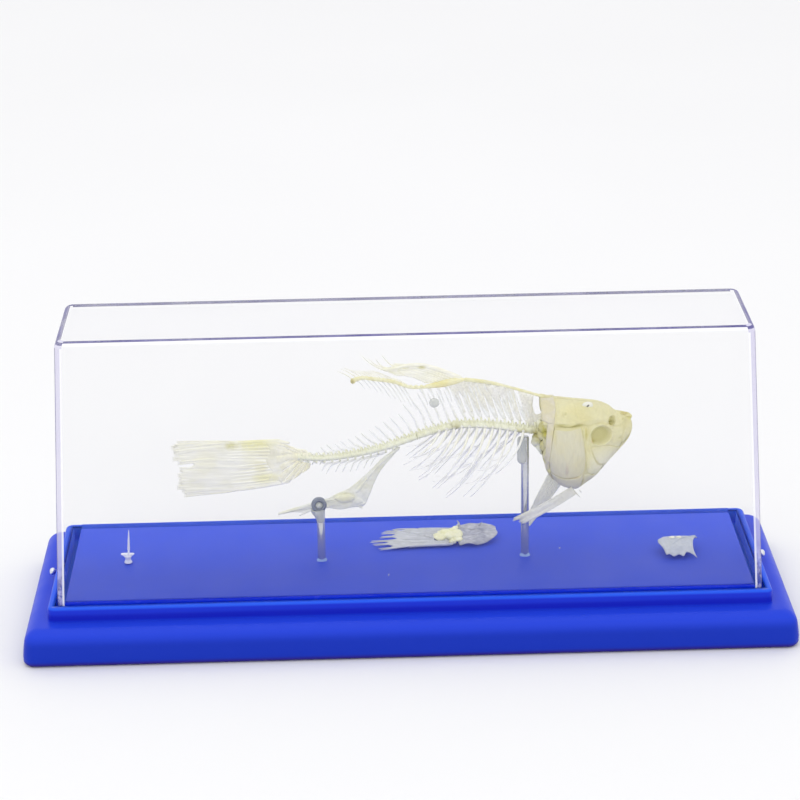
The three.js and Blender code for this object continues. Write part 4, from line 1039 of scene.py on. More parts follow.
@dataclass
class Head:
    """All the bones of the head."""

    form: HeadForm = field(default_factory=HeadForm)
    drop: tuple[float, float] = (71.5, 86.8)
    turn_scale: float = 12
    lowest_turn: float = -1.553
    near_seed: int = 11

    def plates(self) -> list[HeadPlate]:
        """The paired plate bones.

        Returns:
            The plates, each for both sides of the head.
        """
        skull, cover, shoulder = Bones.SKULL, Bones.COVER, Bones.SHOULDER
        return [
            HeadPlate("opercle", "opercle", cover, "pale_bone",
                      [(56.7, 59.8), (60.0, 57.7), (64.0, 57.1), (69.9, 59.9)],
                      [(57.9, 79.0), (60.5, 78.7), (63.5, 78.3), (66.5, 78.8), (68.5, 79.2)],
                      [(56.7, 59.8), (56.3, 65.0), (56.9, 72.0), (57.9, 79.0)],
                      [(69.9, 59.9), (70.5, 64.0), (69.8, 71.0), (68.5, 79.2)], grid=(84, 100)),
            HeadPlate("subopercle", "opercle", cover, "pale_bone",
                      [(59.2, 0), (62.0, 0), (65.0, 0), (68.3, 0)],
                      [(56.7, 59.65), (60.0, 57.55), (64.0, 56.95), (69.8, 59.75)],
                      [(59.2, 0), (57.7, 56.4), (56.7, 59.5)],
                      [(68.3, 0), (69.6, 55.5), (69.8, 59.6)], grid=(70, 44)),
            HeadPlate("preopercle", "preopercle", skull, "skull_bone",
                      [(74.7, 57.7), (77.9, 61.3)], [(68.8, 79.2), (71.3, 79.3)],
                      [(74.7, 57.7), (71.7, 59.3), (70.8, 64.0), (70.1, 71.0), (68.8, 79.2)],
                      [(77.9, 61.3), (74.6, 64.1), (73.1, 68.0), (72.0, 73.0), (71.3, 79.3)],
                      grid=(34, 90)),
            HeadPlate("interopercle", "preopercle", skull, "skull_bone",
                      [(68.6, 0), (71.0, 0), (73.4, 0), (76.7, 0)],
                      [(70.1, 58.8), (72.0, 58.6), (74.8, 57.3), (77.4, 60.4)],
                      [(68.6, 0), (69.9, 55.2), (70.1, 58.8)],
                      [(76.7, 0), (77.2, 59.5), (77.4, 60.4)], grid=(50, 36)),
            HeadPlate("cheek_bone", "cheek", skull, "skull_bone",
                      [(78.3, 62.0), (80.4, 63.2), (82.2, 65.0)],
                      [(72.4, 71.0), (76.6, 70.9), (80.6, 70.3), (84.4, 68.9)],
                      [(78.3, 62.0), (75.0, 64.6), (73.5, 68.0), (72.4, 71.0)],
                      [(82.2, 65.0), (83.4, 66.8), (84.4, 68.9)], grid=(60, 50)),
            HeadPlate("eye_socket_bone", "skull", skull, "skull_bone",
                      [(72.3, 71.3), (76.6, 71.15), (80.6, 70.6), (84.7, 69.3)],
                      [(71.6, 79.4), (74.0, 79.9), (76.6, 80.0), (79.4, 79.2), (82.0, 78.2),
                       (84.5, 78.2), (86.4, 79.5)],
                      [(72.3, 71.3), (72.0, 75.0), (71.6, 79.4)],
                      [(84.7, 69.3), (85.0, 72.6), (85.7, 76.0), (86.4, 79.5)], grid=(110, 84)),
            HeadPlate("lower_jaw_bone", "lower_jaw", skull, "skull_bone",
                      [(77.0, 0), (80.0, 0), (84.0, 0), (88.0, 0), (89.5, 0)],
                      [(78.7, 61.9), (82.2, 64.7), (85.6, 69.4), (88.3, 72.5), (89.6, 75.7)],
                      [(77.0, 0), (77.9, 59.7), (78.7, 61.9)], [(89.5, 0), (89.6, 75.7)],
                      grid=(80, 30)),
            HeadPlate("upper_jaw_bone", "upper_jaw", skull, "yellow_bone",
                      [(85.2, 69.8), (87.0, 72.1), (88.4, 74.0), (89.65, 76.2)],
                      [(86.9, 79.6), (87.8, 99), (88.8, 99), (89.65, 99)],
                      [(85.2, 69.8), (85.3, 73.0), (86.1, 76.5), (86.9, 79.6)],
                      [(89.65, 76.2), (89.65, 99)], grid=(40, 50)),
            HeadPlate("cleithrum", "cleithrum", shoulder, "pale_bone",
                      [(57.0, 0), (58.6, 0)], [(56.2, 85.8), (58.3, 85.6)],
                      [(57.0, 0), (55.6, 58.5), (54.9, 62.0), (54.7, 68.0), (54.8, 74.0),
                       (55.2, 80.0), (56.2, 85.8)],
                      [(58.8, 0), (56.9, 57.6), (56.3, 62.0), (56.5, 68.0), (57.1, 74.0),
                       (57.9, 80.0), (58.5, 85.6)], thickness=1.2, raise_by=0.3, grid=(18, 110)),
            HeadPlate("posttemporal", "skull", shoulder, "skull_bone",
                      [(53.4, 82.4), (57.6, 81.4)], [(53.2, 89.4), (58.2, 99)],
                      [(53.4, 82.4), (53.1, 86.0), (53.2, 89.4)],
                      [(57.6, 81.4), (58.6, 85.6), (58.2, 99)], thickness=0.8, raise_by=0.55,
                      grid=(30, 40)),
        ]

    def build(self) -> None:
        """Builds every bone of the head."""
        for plate in self.plates():
            for side in Side:
                self.plate_bone(plate, side)
        self.roof()
        self.inner_walls()
        self.occiput()
        self.roof_drop()

    def _skins(self, grid: np.ndarray, side: float, thickness: float, raise_by: float,
               seed: int) -> tuple[np.ndarray, np.ndarray, np.ndarray]:
        """Outer and inner faces of a plate, and how deep its points lie in a hollow.

        Args:
            grid: Grid of x and angle.
            side: 1 for the left side and -1 for the right.
            thickness: Thickness of the plate.
            raise_by: How far it stands off the form.
            seed: Seed of its unevenness.

        Returns:
            Points of both faces, and the depths.
        """
        x, angle = grid[..., 0], grid[..., 1]
        level = self.form.point(x, angle, 1.0, 0.0)
        lift, hollow = self.form.relief(x, level[..., 2], seed)
        rim = edge_profile(*x.shape, 0.0)
        lift = lift + raise_by - 0.22 * (1 - rim)
        # Painted shade: the rim of each plate is a little darker.
        hollow = np.maximum(hollow, 0.1 * (1 - rim))
        outer = self.form.point(x, angle, side, lift)
        inner = self.form.point(x, angle, side, lift - thickness * (0.45 + 0.55 * rim))
        return outer, inner, hollow

    def _grid(self, low: list, high: list, rear: list, front: list,
              size: tuple[int, int]) -> np.ndarray:
        """Grid of x and angle over a plate whose edges are given in the side view.

        Args:
            low: Lower edge.
            high: Upper edge.
            rear: Rear edge.
            front: Front edge.
            size: Points along it and across it.

        Returns:
            The grid.
        """
        edges = []
        for line in (low, high, rear, front):
            x, z = np.array(line, float).T
            edges.append(np.stack([x, self.form.angle_at(x, z) * self.turn_scale], axis=1))
        grid = coons(edges[0], edges[1], edges[2], edges[3], *size)
        grid[..., 1] = np.clip(grid[..., 1] / self.turn_scale, self.lowest_turn, math.pi / 2)
        return grid

    def plate_bone(self, plate: HeadPlate, side: Side) -> None:
        """Builds one plate bone on one side.

        Args:
            plate: The plate.
            side: The side of the head.
        """
        grid = self._grid(plate.low, plate.high, plate.rear, plate.front, plate.grid)
        seed = self.near_seed + (side is Side.LEFT)
        outer, inner, hollow = self._skins(grid, side.value, plate.thickness, plate.raise_by, seed)
        if side is Side.RIGHT:
            outer, inner, hollow = outer[::-1], inner[::-1], hollow[::-1]
        draft = Draft()
        draft.sheets(outer, inner, 0, hollow)
        paired = plate.node in ("opercle", "preopercle", "cheek", "cleithrum")
        node = f"{plate.node}_{side.word}" if paired else plate.node
        draft.made(f"{plate.name}_{side.word}", [plate.finish], (node,), plate.slot, FISH_Y)

    def roof(self) -> None:
        """Builds the roof of the skull over both sides, with its crest."""
        low = [(53.6, 80.8), (57.5, 80.9), (59.5, 80.5), (64.6, 79.7), (68.1, 80.7), (71.4, 80.0),
               (73.8, 80.4), (76.6, 80.5), (79.5, 79.7), (82.0, 78.6), (84.5, 78.6), (86.2, 80.0),
               (87.0, 81.1)]
        grid = self._grid(low, [(53.6, 99), (64, 99), (76, 99), (87.2, 99)],
                          [(53.6, 80.8), (53.6, 99)], [(87.0, 81.1), (87.2, 99)], (170, 50))
        halves = [self._skins(grid, side.value, 1.0, 0.0, self.near_seed + (side is Side.LEFT))
                  for side in Side]
        outer, inner, hollow = (np.concatenate([halves[0][k], halves[1][k][:, -2::-1]], axis=1)
                                for k in range(3))
        draft = Draft()
        draft.sheets(outer, inner, 0, hollow)
        draft.made("skull_roof", [Bones.SKULL], ("skull",), "skull_bone", FISH_Y)

    def inner_walls(self) -> None:
        """Builds the walls of the braincase that show between the plates."""
        low = [(58.5, 76.5), (62.0, 73.0), (66.5, 60.0), (71.0, 56.0), (76.0, 60.0), (82.0, 66.5),
               (88.0, 74.5)]
        grid = self._grid(low, [(55.0, 99), (70, 99), (88.2, 99)], [(58.5, 76.5), (55.0, 99)],
                          [(88.0, 74.5), (88.2, 99)], (110, 70))
        draft = Draft()
        for side in Side:
            x, angle = grid[..., 0], grid[..., 1]
            level = self.form.point(x, angle, 1.0, 0.0)
            lift, hollow = self.form.relief(x, level[..., 2], 5)
            outer = self.form.point(x, angle, side.value, lift - 0.13)
            inner = self.form.point(x, angle, side.value, lift - 1.6)
            if side is Side.RIGHT:
                outer, inner, hollow = outer[::-1], inner[::-1], hollow[::-1]
            draft.sheets(outer, inner, 0, hollow)
        draft.made("braincase_walls", [Bones.SEAM], ("skull",), "skull_bone", FISH_Y)

    def roof_drop(self) -> None:
        """Builds the drop of glue on the roof, near-opaque white as a painted highlight, with a
        dark fleck in it.
        """
        x, z = self.drop
        angle = self.form.angle_at(np.array(x), np.array(z))
        spot = self.form.point(np.array(x), angle, -1.0, 0.1)
        drop = Draft()
        drop.lump(tuple(spot), (2.15, 0.55, 1.5), 0.16, 7, detail=14)
        drop.made("skull_glue_drop", [Makings.DROP], ("skull",), "clear_glue", FISH_Y)
        fleck = Draft()
        fleck.tube([spot + np.array([-0.4, -0.6, -0.5]), spot + np.array([0.5, -0.55, 0.4])],
                   (0.2, 0.3, 0.16), 0.14, 6, 6)
        fleck.made("skull_drop_fleck", [Makings.FLECK], ("skull",), "clear_glue", FISH_Y)

    def occiput(self) -> None:
        """Builds the back of the skull: its joint, crest and the bar under the braincase."""
        draft = Draft()
        draft.lump((58.2, 0, 80.4), (4.6, 4.6, 4.6), 0.1, 3)
        draft.lump((56.4, 3.4, 82.5), (2.6, 2.4, 3.4), 0.14, 4)
        draft.lump((56.4, -3.4, 82.5), (2.6, 2.4, 3.4), 0.14, 5)
        draft.tube([(60, 0, 76.2), (56, 0, 75.8), (53.4, 0, 75.6)], (2.6, 1.5), (2.4, 1.5), 10, 12)
        for x, y, z, radii, rough, seed in (
                (54.8, 2.2, 77.4, (2.3, 2.2, 2.3), 0.3, 30),
                (53.9, 1.4, 74.2, (1.9, 2.0, 2.2), 0.3, 30),
                (56.4, 4.6, 78.4, (1.9, 2.2, 1.9), 0.3, 30),
                (55.6, 3.6, 72.0, (1.5, 1.8, 2.6), 0.3, 30),
                (55.2, 5.2, 75.2, (1.1, 1.4, 1.3), 0.3, 30),
                (55.3, 3.6, 66.0, (1.5, 2.0, 3.8), 0.24, 35),
                (54.2, 2.0, 69.6, (1.5, 1.9, 2.4), 0.24, 35),
                (56.6, 4.0, 61.6, (1.2, 1.6, 3.4), 0.24, 35),
                (57.0, 4.6, 70.4, (1.6, 1.6, 3.4), 0.24, 35)):
            for side in (-1, 1):
                draft.lump((x, side * y, z), radii, rough, seed + side)
        draft.lump((57.6, 0, 70.6), (2.2, 5.4, 8.6), 0.16, 44)
        draft.tube([(58, 0, 75), (66, 0, 73), (76, 0, 72.4), (85, 0, 74)], 0.9, 1.1, 20, 8)
        draft.made("braincase_back", [Bones.INNER], ("skull",), "skull_bone", FISH_Y)
        crest = Draft()
        x = np.linspace(0, 1, 18)[:, None]
        share = np.linspace(0, 1, 8)[None]
        base = 84.5 + 3.9 * x
        ridge = 90.9 - 2.6 * x ** 1.4
        grid = np.stack([52.9 + 7.4 * x + 0 * share, 0 * x * share,
                         base + (ridge - base) * share], axis=-1)
        crest.plate(grid, 1.1)
        crest.made("skull_crest", [Bones.SKULL], ("skull",), "skull_bone", FISH_Y)
        snout = Draft()
        snout.lump((87.3, -0.6, 81.5), (1.5, 2.0, 0.75), 0.16, 8)
        snout.lump((88.6, 0.4, 80.3), (0.9, 1.5, 0.8), 0.16, 9)
        snout.tube([(84.4, -1.6, 82.2), (86.2, -1.9, 82.3), (88.2, -1.4, 81.4)], 0.3, 0.35, 10, 6)
        snout.made("snout_bone", [Bones.SKULL], ("upper_jaw",), "yellow_bone", FISH_Y)


# ------------------------------------------------------------------------------------ backbone


@dataclass
class Backbone:
    """The vertebrae with their spines, and the ribs."""

    line: tuple = ((52.4, 75.6), (45, 76.4), (33, 78.2), (21, 78.5), (12, 76.8), (3.5, 74),
                   (-9.3, 69.7), (-22, 67), (-35, 65.8), (-43.2, 66.6))
    fine: int = 640
    count: int = 32
    trunk: int = 16
    broad_spines: int = 9
    long_spines: int = 14
    last_vertebrae: int = 28
    sides: int = 16
    radius: tuple[float, float] = (1.95, 1.3)
    spine_lean: Stops = ((0, 72), (0.42, 66), (0.55, 54), (0.7, 44), (1, 36))
    tail_spine_length: Stops = ((0.45, 15), (0.5, 12.5), (0.6, 10), (0.75, 7.5), (1, 4.8))
    haemal_lean: Stops = ((0.5, 58), (0.7, 54), (1, 50))
    haemal_length: Stops = ((0.5, 11), (0.75, 9), (1, 6))
    dorsal_line: Stops = ((-20.9, 98.4), (-17.5, 99.2), (-11.5, 98.6), (-4.3, 97.4), (1.7, 95.1),
                          (7.7, 95), (13.6, 95.8), (22.6, 97.4), (32.5, 96.2), (41.5, 93.7),
                          (52.2, 90.3))
    anal_edge: Stops = ((-51.6, 42.4), (-38.6, 46.4), (-28.5, 50.1), (-23.3, 52.4), (-18.7, 56.1),
                        (-13.8, 60.8), (-9.8, 65), (-6.6, 67.4), (-3.4, 70))
    rib_pairs: int = 12
    rib_drop: Stops = ((0, 15), (0.3, 27), (0.65, 23), (1, 13))
    rib_sweep: Stops = ((0, 13), (0.4, 17), (1, 14))
    rib_bulge: Stops = ((0, 8), (0.4, 9.5), (1, 5))
    rib_sweep_bend: float = 1.45
    seed: int = 41

    def __post_init__(self) -> None:
        """Lays out the line of the backbone."""
        self.rng = np.random.default_rng(self.seed)
        self.path = smooth_line([(x, 0.0, z) for x, z in self.line], self.fine + 1)
        self.slope = np.gradient(self.path, axis=0)
        self.slope /= np.linalg.norm(self.slope, axis=1, keepdims=True)

    def at(self, place: float) -> np.ndarray:
        """Point of the backbone by its share of the length."""
        return self.path[int(round(np.clip(place, 0, 1) * self.fine))]

    def along(self, place: float) -> np.ndarray:
        """Direction of the backbone by its share of the length, towards the tail."""
        return self.slope[int(round(np.clip(place, 0, 1) * self.fine))]

    def size(self, place: float) -> float:
        """Radius of the vertebrae."""
        return self.radius[0] + (self.radius[1] - self.radius[0]) * place

    def to_back(self, start: np.ndarray, way: np.ndarray) -> float:
        """Distance from a point to the line of the back.

        Args:
            start: The point.
            way: The direction in which the distance is taken.

        Returns:
            The distance.
        """
        reach = np.arange(0, 30, 0.05)
        line = start + way * reach[:, None]
        gap = curve_value(self.dorsal_line, line[:, 0]) - line[:, 2]
        return reach[np.argmax(gap < 0)]

    def build(self) -> None:
        """Builds every vertebra and rib."""
        for index in range(self.count):
            self.vertebra(index)
        self.cushions()
        self.first_plates()
        for side in Side:
            for index in range(self.rib_pairs):
                self.rib(index, side)
            self.fine_bones(side)

    def cushions(self) -> None:
        """Builds the dried gristle that fills the waists of the vertebrae."""
        middle = self.trunk / self.count
        for node, low, high in (("trunk_vertebrae", 0.004, middle),
                                ("tail_vertebrae", middle, 0.996)):
            shares = np.linspace(low, high, 40)
            sizes = tuple(0.86 * self.size(share) for share in shares)
            draft = Draft()
            draft.tube([self.at(share) for share in shares], sizes, sizes, 160, 14)
            draft.made(f"{node}_cushions", [Bones.COLUMN], (node,), "yellow_bone", FISH_Y)

    def vertebra(self, index: int) -> None:
        """Builds one vertebra with its arches and spines.

        Args:
            index: Its number, from the head.
        """
        draft = Draft()
        a, b = (index + 0.03) / self.count, (index + 0.97) / self.count
        start, end = self.at(a), self.at(b)
        radius = self.size((a + b) / 2)
        axis = (end - start) / np.linalg.norm(end - start)
        side = np.array([0.0, 1.0, 0.0])
        up = np.cross(side, axis)
        up *= np.sign(up[2])
        angle = np.arange(self.sides) / self.sides * 2 * np.pi
        profile = ((0, 0.5), (0, 0.9), (0.04, 1.0), (0.1, 0.99), (0.2, 0.86), (0.36, 0.76),
                   (0.5, 0.73), (0.64, 0.76), (0.8, 0.86), (0.9, 0.99), (0.96, 1.0), (1, 0.9),
                   (1, 0.5))
        rows, deep = [], []
        for t, r in profile:
            flute = 1 + 0.05 * np.cos(4 * angle) * math.sin(math.pi * t)
            ring = (up * np.cos(angle)[:, None] + side * np.sin(angle)[:, None])
            rows.append(start + (end - start) * t + ring * (radius * r * flute)[:, None])
            # Painted shade: the vertebra is darker where its waist is narrower.
            deep.append(np.full(self.sides, np.clip((1 - r) * 2.2, 0, 0.55)))
        draft.rings(np.array(rows), True, 0, np.array(deep))
        place = (index + 0.45) / self.count
        middle = self.at(place)
        jitter = self.rng.normal(0, 1, 6)
        spine = self.neural_spine(index, place, jitter)
        root = middle + up * radius * 0.7
        peak = root + up * radius + axis * 0.5
        for s in (-1, 1):
            draft.tube([middle + up * radius * 0.55 + side * s * radius * 0.62,
                        middle + up * radius * 1.2 + side * s * radius * 0.5 + axis * 0.2, peak],
                       0.42, 0.22, 7, 6)
            draft.tube([start + up * radius * 0.7 + side * s * radius * 0.6,
                        start + up * radius * 1.15 + side * s * radius * 0.5 - axis * 0.35],
                       0.25, 0.2, 4, 6)
            draft.tube([end + up * radius * 0.75 + side * s * radius * 0.5,
                        end + up * radius * 1.1 + side * s * radius * 0.42 + axis * 0.4],
                       0.22, 0.18, 4, 6)
        if index >= 1:
            broad = 1.0 if index < self.broad_spines else 0.62
            draft.tube(np.vstack([peak - axis * 0.2, spine]), (broad, broad * 0.7, 0.36, 0.24),
                       (0.34, 0.26, 0.2, 0.16), 14, 7, finish=1)
        if self.trunk + 2 < index:
            self.haemal_spine(draft, index, middle, up, side, axis, radius, jitter)
        node = "trunk_vertebrae" if index < self.trunk else "tail_vertebrae"
        draft.made(f"vertebra_{index + 1:02d}", [Bones.COLUMN, Bones.SPINE], (node,),
                   "yellow_bone", FISH_Y)

    def neural_spine(self, index: int, place: float, jitter: np.ndarray) -> np.ndarray:
        """Line of the spine over one vertebra.

        Args:
            index: Number of the vertebra.
            place: Its share of the length.
            jitter: Its own small differences.

        Returns:
            Middle and tip of the spine.
        """
        start = self.at(place) + np.array([0, 0, self.size(place) * 0.4])
        lean = math.radians(value_at(self.spine_lean, place) + jitter[0])
        way = np.array([-math.cos(lean), 0.02 * jitter[1], math.sin(lean)])
        is_long = index < self.long_spines
        if is_long:
            length = self.to_back(start, way) - (2.2 if index < self.broad_spines else 2.8)
        else:
            length = value_at(self.tail_spine_length, place) * (1 + 0.06 * jitter[2])
            if index >= self.last_vertebrae:
                length = min(length, 3.4)
        bend = np.array([0.06, 0.0, -0.02]) * length * (0.2 if is_long else 1.0)
        return np.array([start + way * length * 0.45 + bend, start + way * length])

    def haemal_spine(self, draft: Draft, index: int, middle: np.ndarray, up: np.ndarray,
                     side: np.ndarray, axis: np.ndarray, radius: float,
                     jitter: np.ndarray) -> None:
        """Adds the arch and spine under a tail vertebra.

        Args:
            draft: The vertebra.
            index: Its number.
            middle: Its middle.
            up: Its upward direction.
            side: Its sideways direction.
            axis: Its direction towards the tail.
            radius: Its radius.
            jitter: Its own small differences.
        """
        place = (index + 0.5) / self.count
        start = self.at(place) - np.array([0, 0, radius * 0.4])
        lean = math.radians(value_at(self.haemal_lean, place) + jitter[3] * 1.5)
        way = np.array([-math.cos(lean), 0.02 * jitter[4], -math.sin(lean)])
        length = value_at(self.haemal_length, place) * (1 + 0.05 * jitter[5])
        if index >= self.last_vertebrae:
            length = 3.0
        while length > 2:
            tip = start + way * length
            if tip[2] > value_at(self.anal_edge, tip[0]) + 1.4:
                break
            length -= 0.25
        tip = start + way * length
        peak = middle - up * radius * 1.7 + axis * 0.5
        for s in (-1, 1):
            draft.tube([middle - up * radius * 0.55 + side * s * radius * 0.55,
                        middle - up * radius * 1.2 + side * s * radius * 0.45 + axis * 0.2, peak],
                       0.38, 0.2, 7, 6)
        bend = np.array([-0.05, 0, 0.04]) * length
        draft.tube([peak + np.array([0.1, 0, 0.3]), (start + tip) / 2 + bend, tip],
                   (0.5, 0.32, 0.2), (0.24, 0.18, 0.14), 12, 7, finish=1)

    def first_plates(self) -> None:
        """Builds the broad plates and the lump of the first vertebrae."""
        spine = Draft()
        grid = coons([(47.6, 77), (49.6, 76.9), (51.3, 76.8)],
                     [(44.3, 92.3), (47.0, 91.6), (50.4, 90.5)],
                     [(47.6, 77), (46.9, 81), (45.8, 86.4), (44.3, 92.3)],
                     [(51.3, 76.8), (50.3, 80.5), (50.0, 85.6), (50.4, 90.5)], 16, 34)
        spine.plate(stood(grid, 0.3 * np.sin(grid[..., 1] * 0.4)), 0.8, 0, 0.12)
        spine.tube([(49.6, 0, 76.6), (48.7, 0.2, 82), (47.4, 0.2, 89)], (0.7, 0.5), (0.6, 0.5), 16,
                   8)
        spine.made("first_broad_spine", [Bones.FILM], ("trunk_vertebrae",), "yellow_bone", FISH_Y)
        film = Draft()
        grid = coons([(49.8, 76.4), (51.8, 75.9), (54.4, 75.8)],
                     [(50.0, 85.6), (51.6, 82.0), (52.8, 82.2), (54.2, 84.6)],
                     [(49.8, 76.4), (50.0, 85.6)], [(54.4, 75.8), (54.2, 84.6)], 16, 18)
        film.plate(stood(grid, 0.3), 0.7, 0, 0.1)
        film.made("neck_film", [Bones.FILM], ("trunk_vertebrae",), "yellow_bone", FISH_Y)
        lump = Draft()
        for centre, radii, rough, seed, hollow in (
                ((51.8, 0.9, 72.2), (1.9, 1.3, 1.9), 0.2, 21, 0.0),
                ((51.6, -1.0, 71.6), (1.8, 1.2, 2.2), 0.22, 22, 0.0),
                ((52.8, 0, 69.2), (1.5, 1.3, 2.6), 0.2, 23, 0.0),
                ((50.6, 0.1, 70.4), (1.1, 1.0, 1.4), 0.2, 24, 0.3),
                ((52.7, 0.2, 77.4), (1.8, 1.4, 2.3), 0.26, 26, 0.0),
                ((51.2, 0.1, 76.4), (1.5, 1.2, 1.5), 0.26, 27, 0.0)):
            lump.lump(centre, radii, rough, seed, hollow=hollow)
        lump.tube([(50.4, 0, 69.4), (52.2, 0, 68.4), (53.8, 0, 65.0)], (0.7, 0.9, 0.5), 0.7, 12, 8)
        lump.made("shoulder_lump", [Bones.COLUMN], ("trunk_vertebrae",), "yellow_bone", FISH_Y)
        knob = Draft()
        knob.lump((19.4, -0.9, 79.1), (1.7, 1.4, 1.5), 0.18, 25, hollow=0.35)
        knob.made("column_knob", [Bones.COLUMN], ("trunk_vertebrae",), "yellow_bone", FISH_Y)

    def rib_line(self, index: int, side: float, jitter: np.ndarray) -> np.ndarray:
        """Line of one rib: out from the flank, then down and back round the body cavity.

        Args:
            index: Number of its pair, from the head.
            side: 1 for the left side and -1 for the right.
            jitter: Its own small differences.

        Returns:
            Nine points of the line.
        """
        share = index / (self.rib_pairs - 1)
        root = self.at((index + 2) / self.count)
        drop = value_at(self.rib_drop, share) * (1 + 0.05 * jitter[0])
        sweep = value_at(self.rib_sweep, share) * (1 + 0.07 * jitter[1])
        bulge = value_at(self.rib_bulge, share) * (1 + 0.05 * jitter[2])
        t = np.linspace(0, 1, 9)
        wander = 0.35 * np.sin(t * 5 + jitter[3]) * t
        return np.stack([
            root[0] - sweep * t ** self.rib_sweep_bend + wander,
            side * (1.5 + bulge * np.sin(np.pi * 0.62 * t) - bulge * 0.25 * t * t),
            root[2] - 0.35 - drop * t + wander * 0.5,
        ], axis=1)

    def rib(self, index: int, side: Side) -> None:
        """Builds one rib.

        Args:
            index: Number of its pair.
            side: Its side.
        """
        jitter = np.clip(self.rng.normal(0, 1, 5), -1.6, 1.6)
        line = self.rib_line(index, side.value, jitter)
        draft = Draft()
        draft.tube(line, (0.62, 0.46, 0.4, 0.3, 0.17), (0.42, 0.34, 0.3, 0.24, 0.15), 30, 8)
        draft.lump(tuple(line[0] + np.array([0, 0, 0.1])), (0.7, 0.6, 0.6), 0.12, index, detail=8)
        draft.made(f"rib_{side.word}_{index + 1:02d}", [Bones.RIB], (f"rib_cage_{side.word}",),
                   "pale_bone", FISH_Y)

    def fine_bones(self, side: Side) -> None:
        """Builds the hair-thin bones that lie between the ribs.

        Args:
            side: Their side.
        """
        draft = Draft()
        for k in range(11):
            jitter = np.clip(self.rng.normal(0, 1, 5), -1.5, 1.5)
            line = self.rib_line(min(k + 1, self.rib_pairs - 1), side.value, jitter * 0)
            start = line[3 + k % 3] + np.array([0, side.value * 0.2, 0])
            length = 9 + 2.5 * jitter[0]
            way = np.array([-0.93, -0.04 * side.value, -0.38 + 0.1 * jitter[1]])
            bend = np.array([0.3, 0.0, -0.9])
            draft.tube([start, start + way * length * 0.5 + bend, start + way * length],
                       (0.2, 0.16, 0.1), (0.2, 0.16, 0.1), 14, 6)
            if k % 2:
                fork = start + way * length * 0.45 + bend
                draft.tube([fork, fork + np.array([-length * 0.35, 0, 0.9])], (0.14, 0.09),
                           (0.14, 0.09), 6, 5)
        draft.made(f"fine_bones_{side.word}", [Bones.RIB], (f"rib_cage_{side.word}",),
                   "pale_bone", FISH_Y)


# ------------------------------------------------------------------------------------ fins


@dataclass
class RaySpread:
    """A fin of branched rays held by a thin ragged web."""

    rays: int
    roots: list
    tips: list
    bow: Point = (0.0, 0.0, 0.0)
    half: tuple[float, float] = (0.5, 0.2)
    thick: tuple[float, float] = (0.4, 0.18)
    fork: float = 0.55
    spread: float = 0.5
    ragged: float = 0.1
    seed: int = 1
    web_thickness: float = 0.28

    def lines(self) -> list[np.ndarray]:
        """Lines of the rays, each with nine points.

        Returns:
            The lines.
        """
        rng = np.random.default_rng(self.seed)
        roots, tips = smooth_line(self.roots, self.rays), smooth_line(self.tips, self.rays)
        t = np.linspace(0, 1, 9)[:, None]
        found = []
        for root, tip in zip(roots, tips):
            tip = root + (tip - root) * (1 + self.ragged * rng.uniform(-0.6, 0.4))
            line = root + (tip - root) * t + np.array(self.bow) * np.sin(np.pi * t * 0.9)
            wave = np.sin(t * rng.uniform(3, 6) + rng.uniform(0, 6))
            found.append(line + wave * np.array([0, 0.16, 0.12]) * t)
        return found

    def rays_on(self, draft: Draft, finish: int = 0) -> None:
        """Adds the rays to a draft.

        Args:
            draft: The draft.
            finish: Number of the finish.
        """
        rng = np.random.default_rng(self.seed + 100)
        lines = self.lines()
        for k, line in enumerate(lines):
            beside = lines[min(k + 1, len(lines) - 1)][-1] - lines[max(k - 1, 0)][-1]
            beside = beside / (np.linalg.norm(beside) + 1e-9)
            cut = int(round(self.fork * 8))
            high = np.linspace(self.half[0], self.half[1] * 1.5, 3)
            draft.tube(line[:cut + 1], tuple(high), self.thick, 14, 7, finish=finish)
            for s in (-1, 1):
                t = np.linspace(0, 1, 9 - cut)[:, None]
                ends = line[cut:] + beside * s * self.spread * t * rng.uniform(0.7, 1.2)
                draft.tube(ends, (self.half[1] * 1.3, self.half[1] * 0.6),
                           (self.thick[1], self.thick[1] * 0.6), 12, 6, finish=finish)

    def web_on(self, draft: Draft, finish: int = 0, reach: float = 0.97) -> None:
        """Adds the web between the rays to a draft.

        Args:
            draft: The draft.
            finish: Number of the finish.
            reach: Its share of the rays' length.
        """
        rng = np.random.default_rng(self.seed + 200)
        lines = np.array(self.lines())
        fine = 6
        columns = (self.rays - 1) * fine + 1
        t = np.linspace(0, self.rays - 1, columns)
        low = np.clip(t.astype(int), 0, self.rays - 2)
        share = (t - low)[:, None, None]
        sheet = lines[low] * (1 - share) + lines[low + 1] * share
        notch = self.ragged * np.sin(np.pi * (t % 1)) * rng.uniform(0.5, 1.6, columns)
        steps = np.linspace(0, 1, 26)
        grid = []
        for column, cut in zip(sheet, notch):
            at = steps * (reach - cut * 0.8) * 8
            i = np.clip(at.astype(int), 0, 7)
            f = (at - i)[:, None]
            grid.append(column[i] * (1 - f) + column[i + 1] * f)
        draft.plate(np.array(grid), self.web_thickness, finish, 0.0)


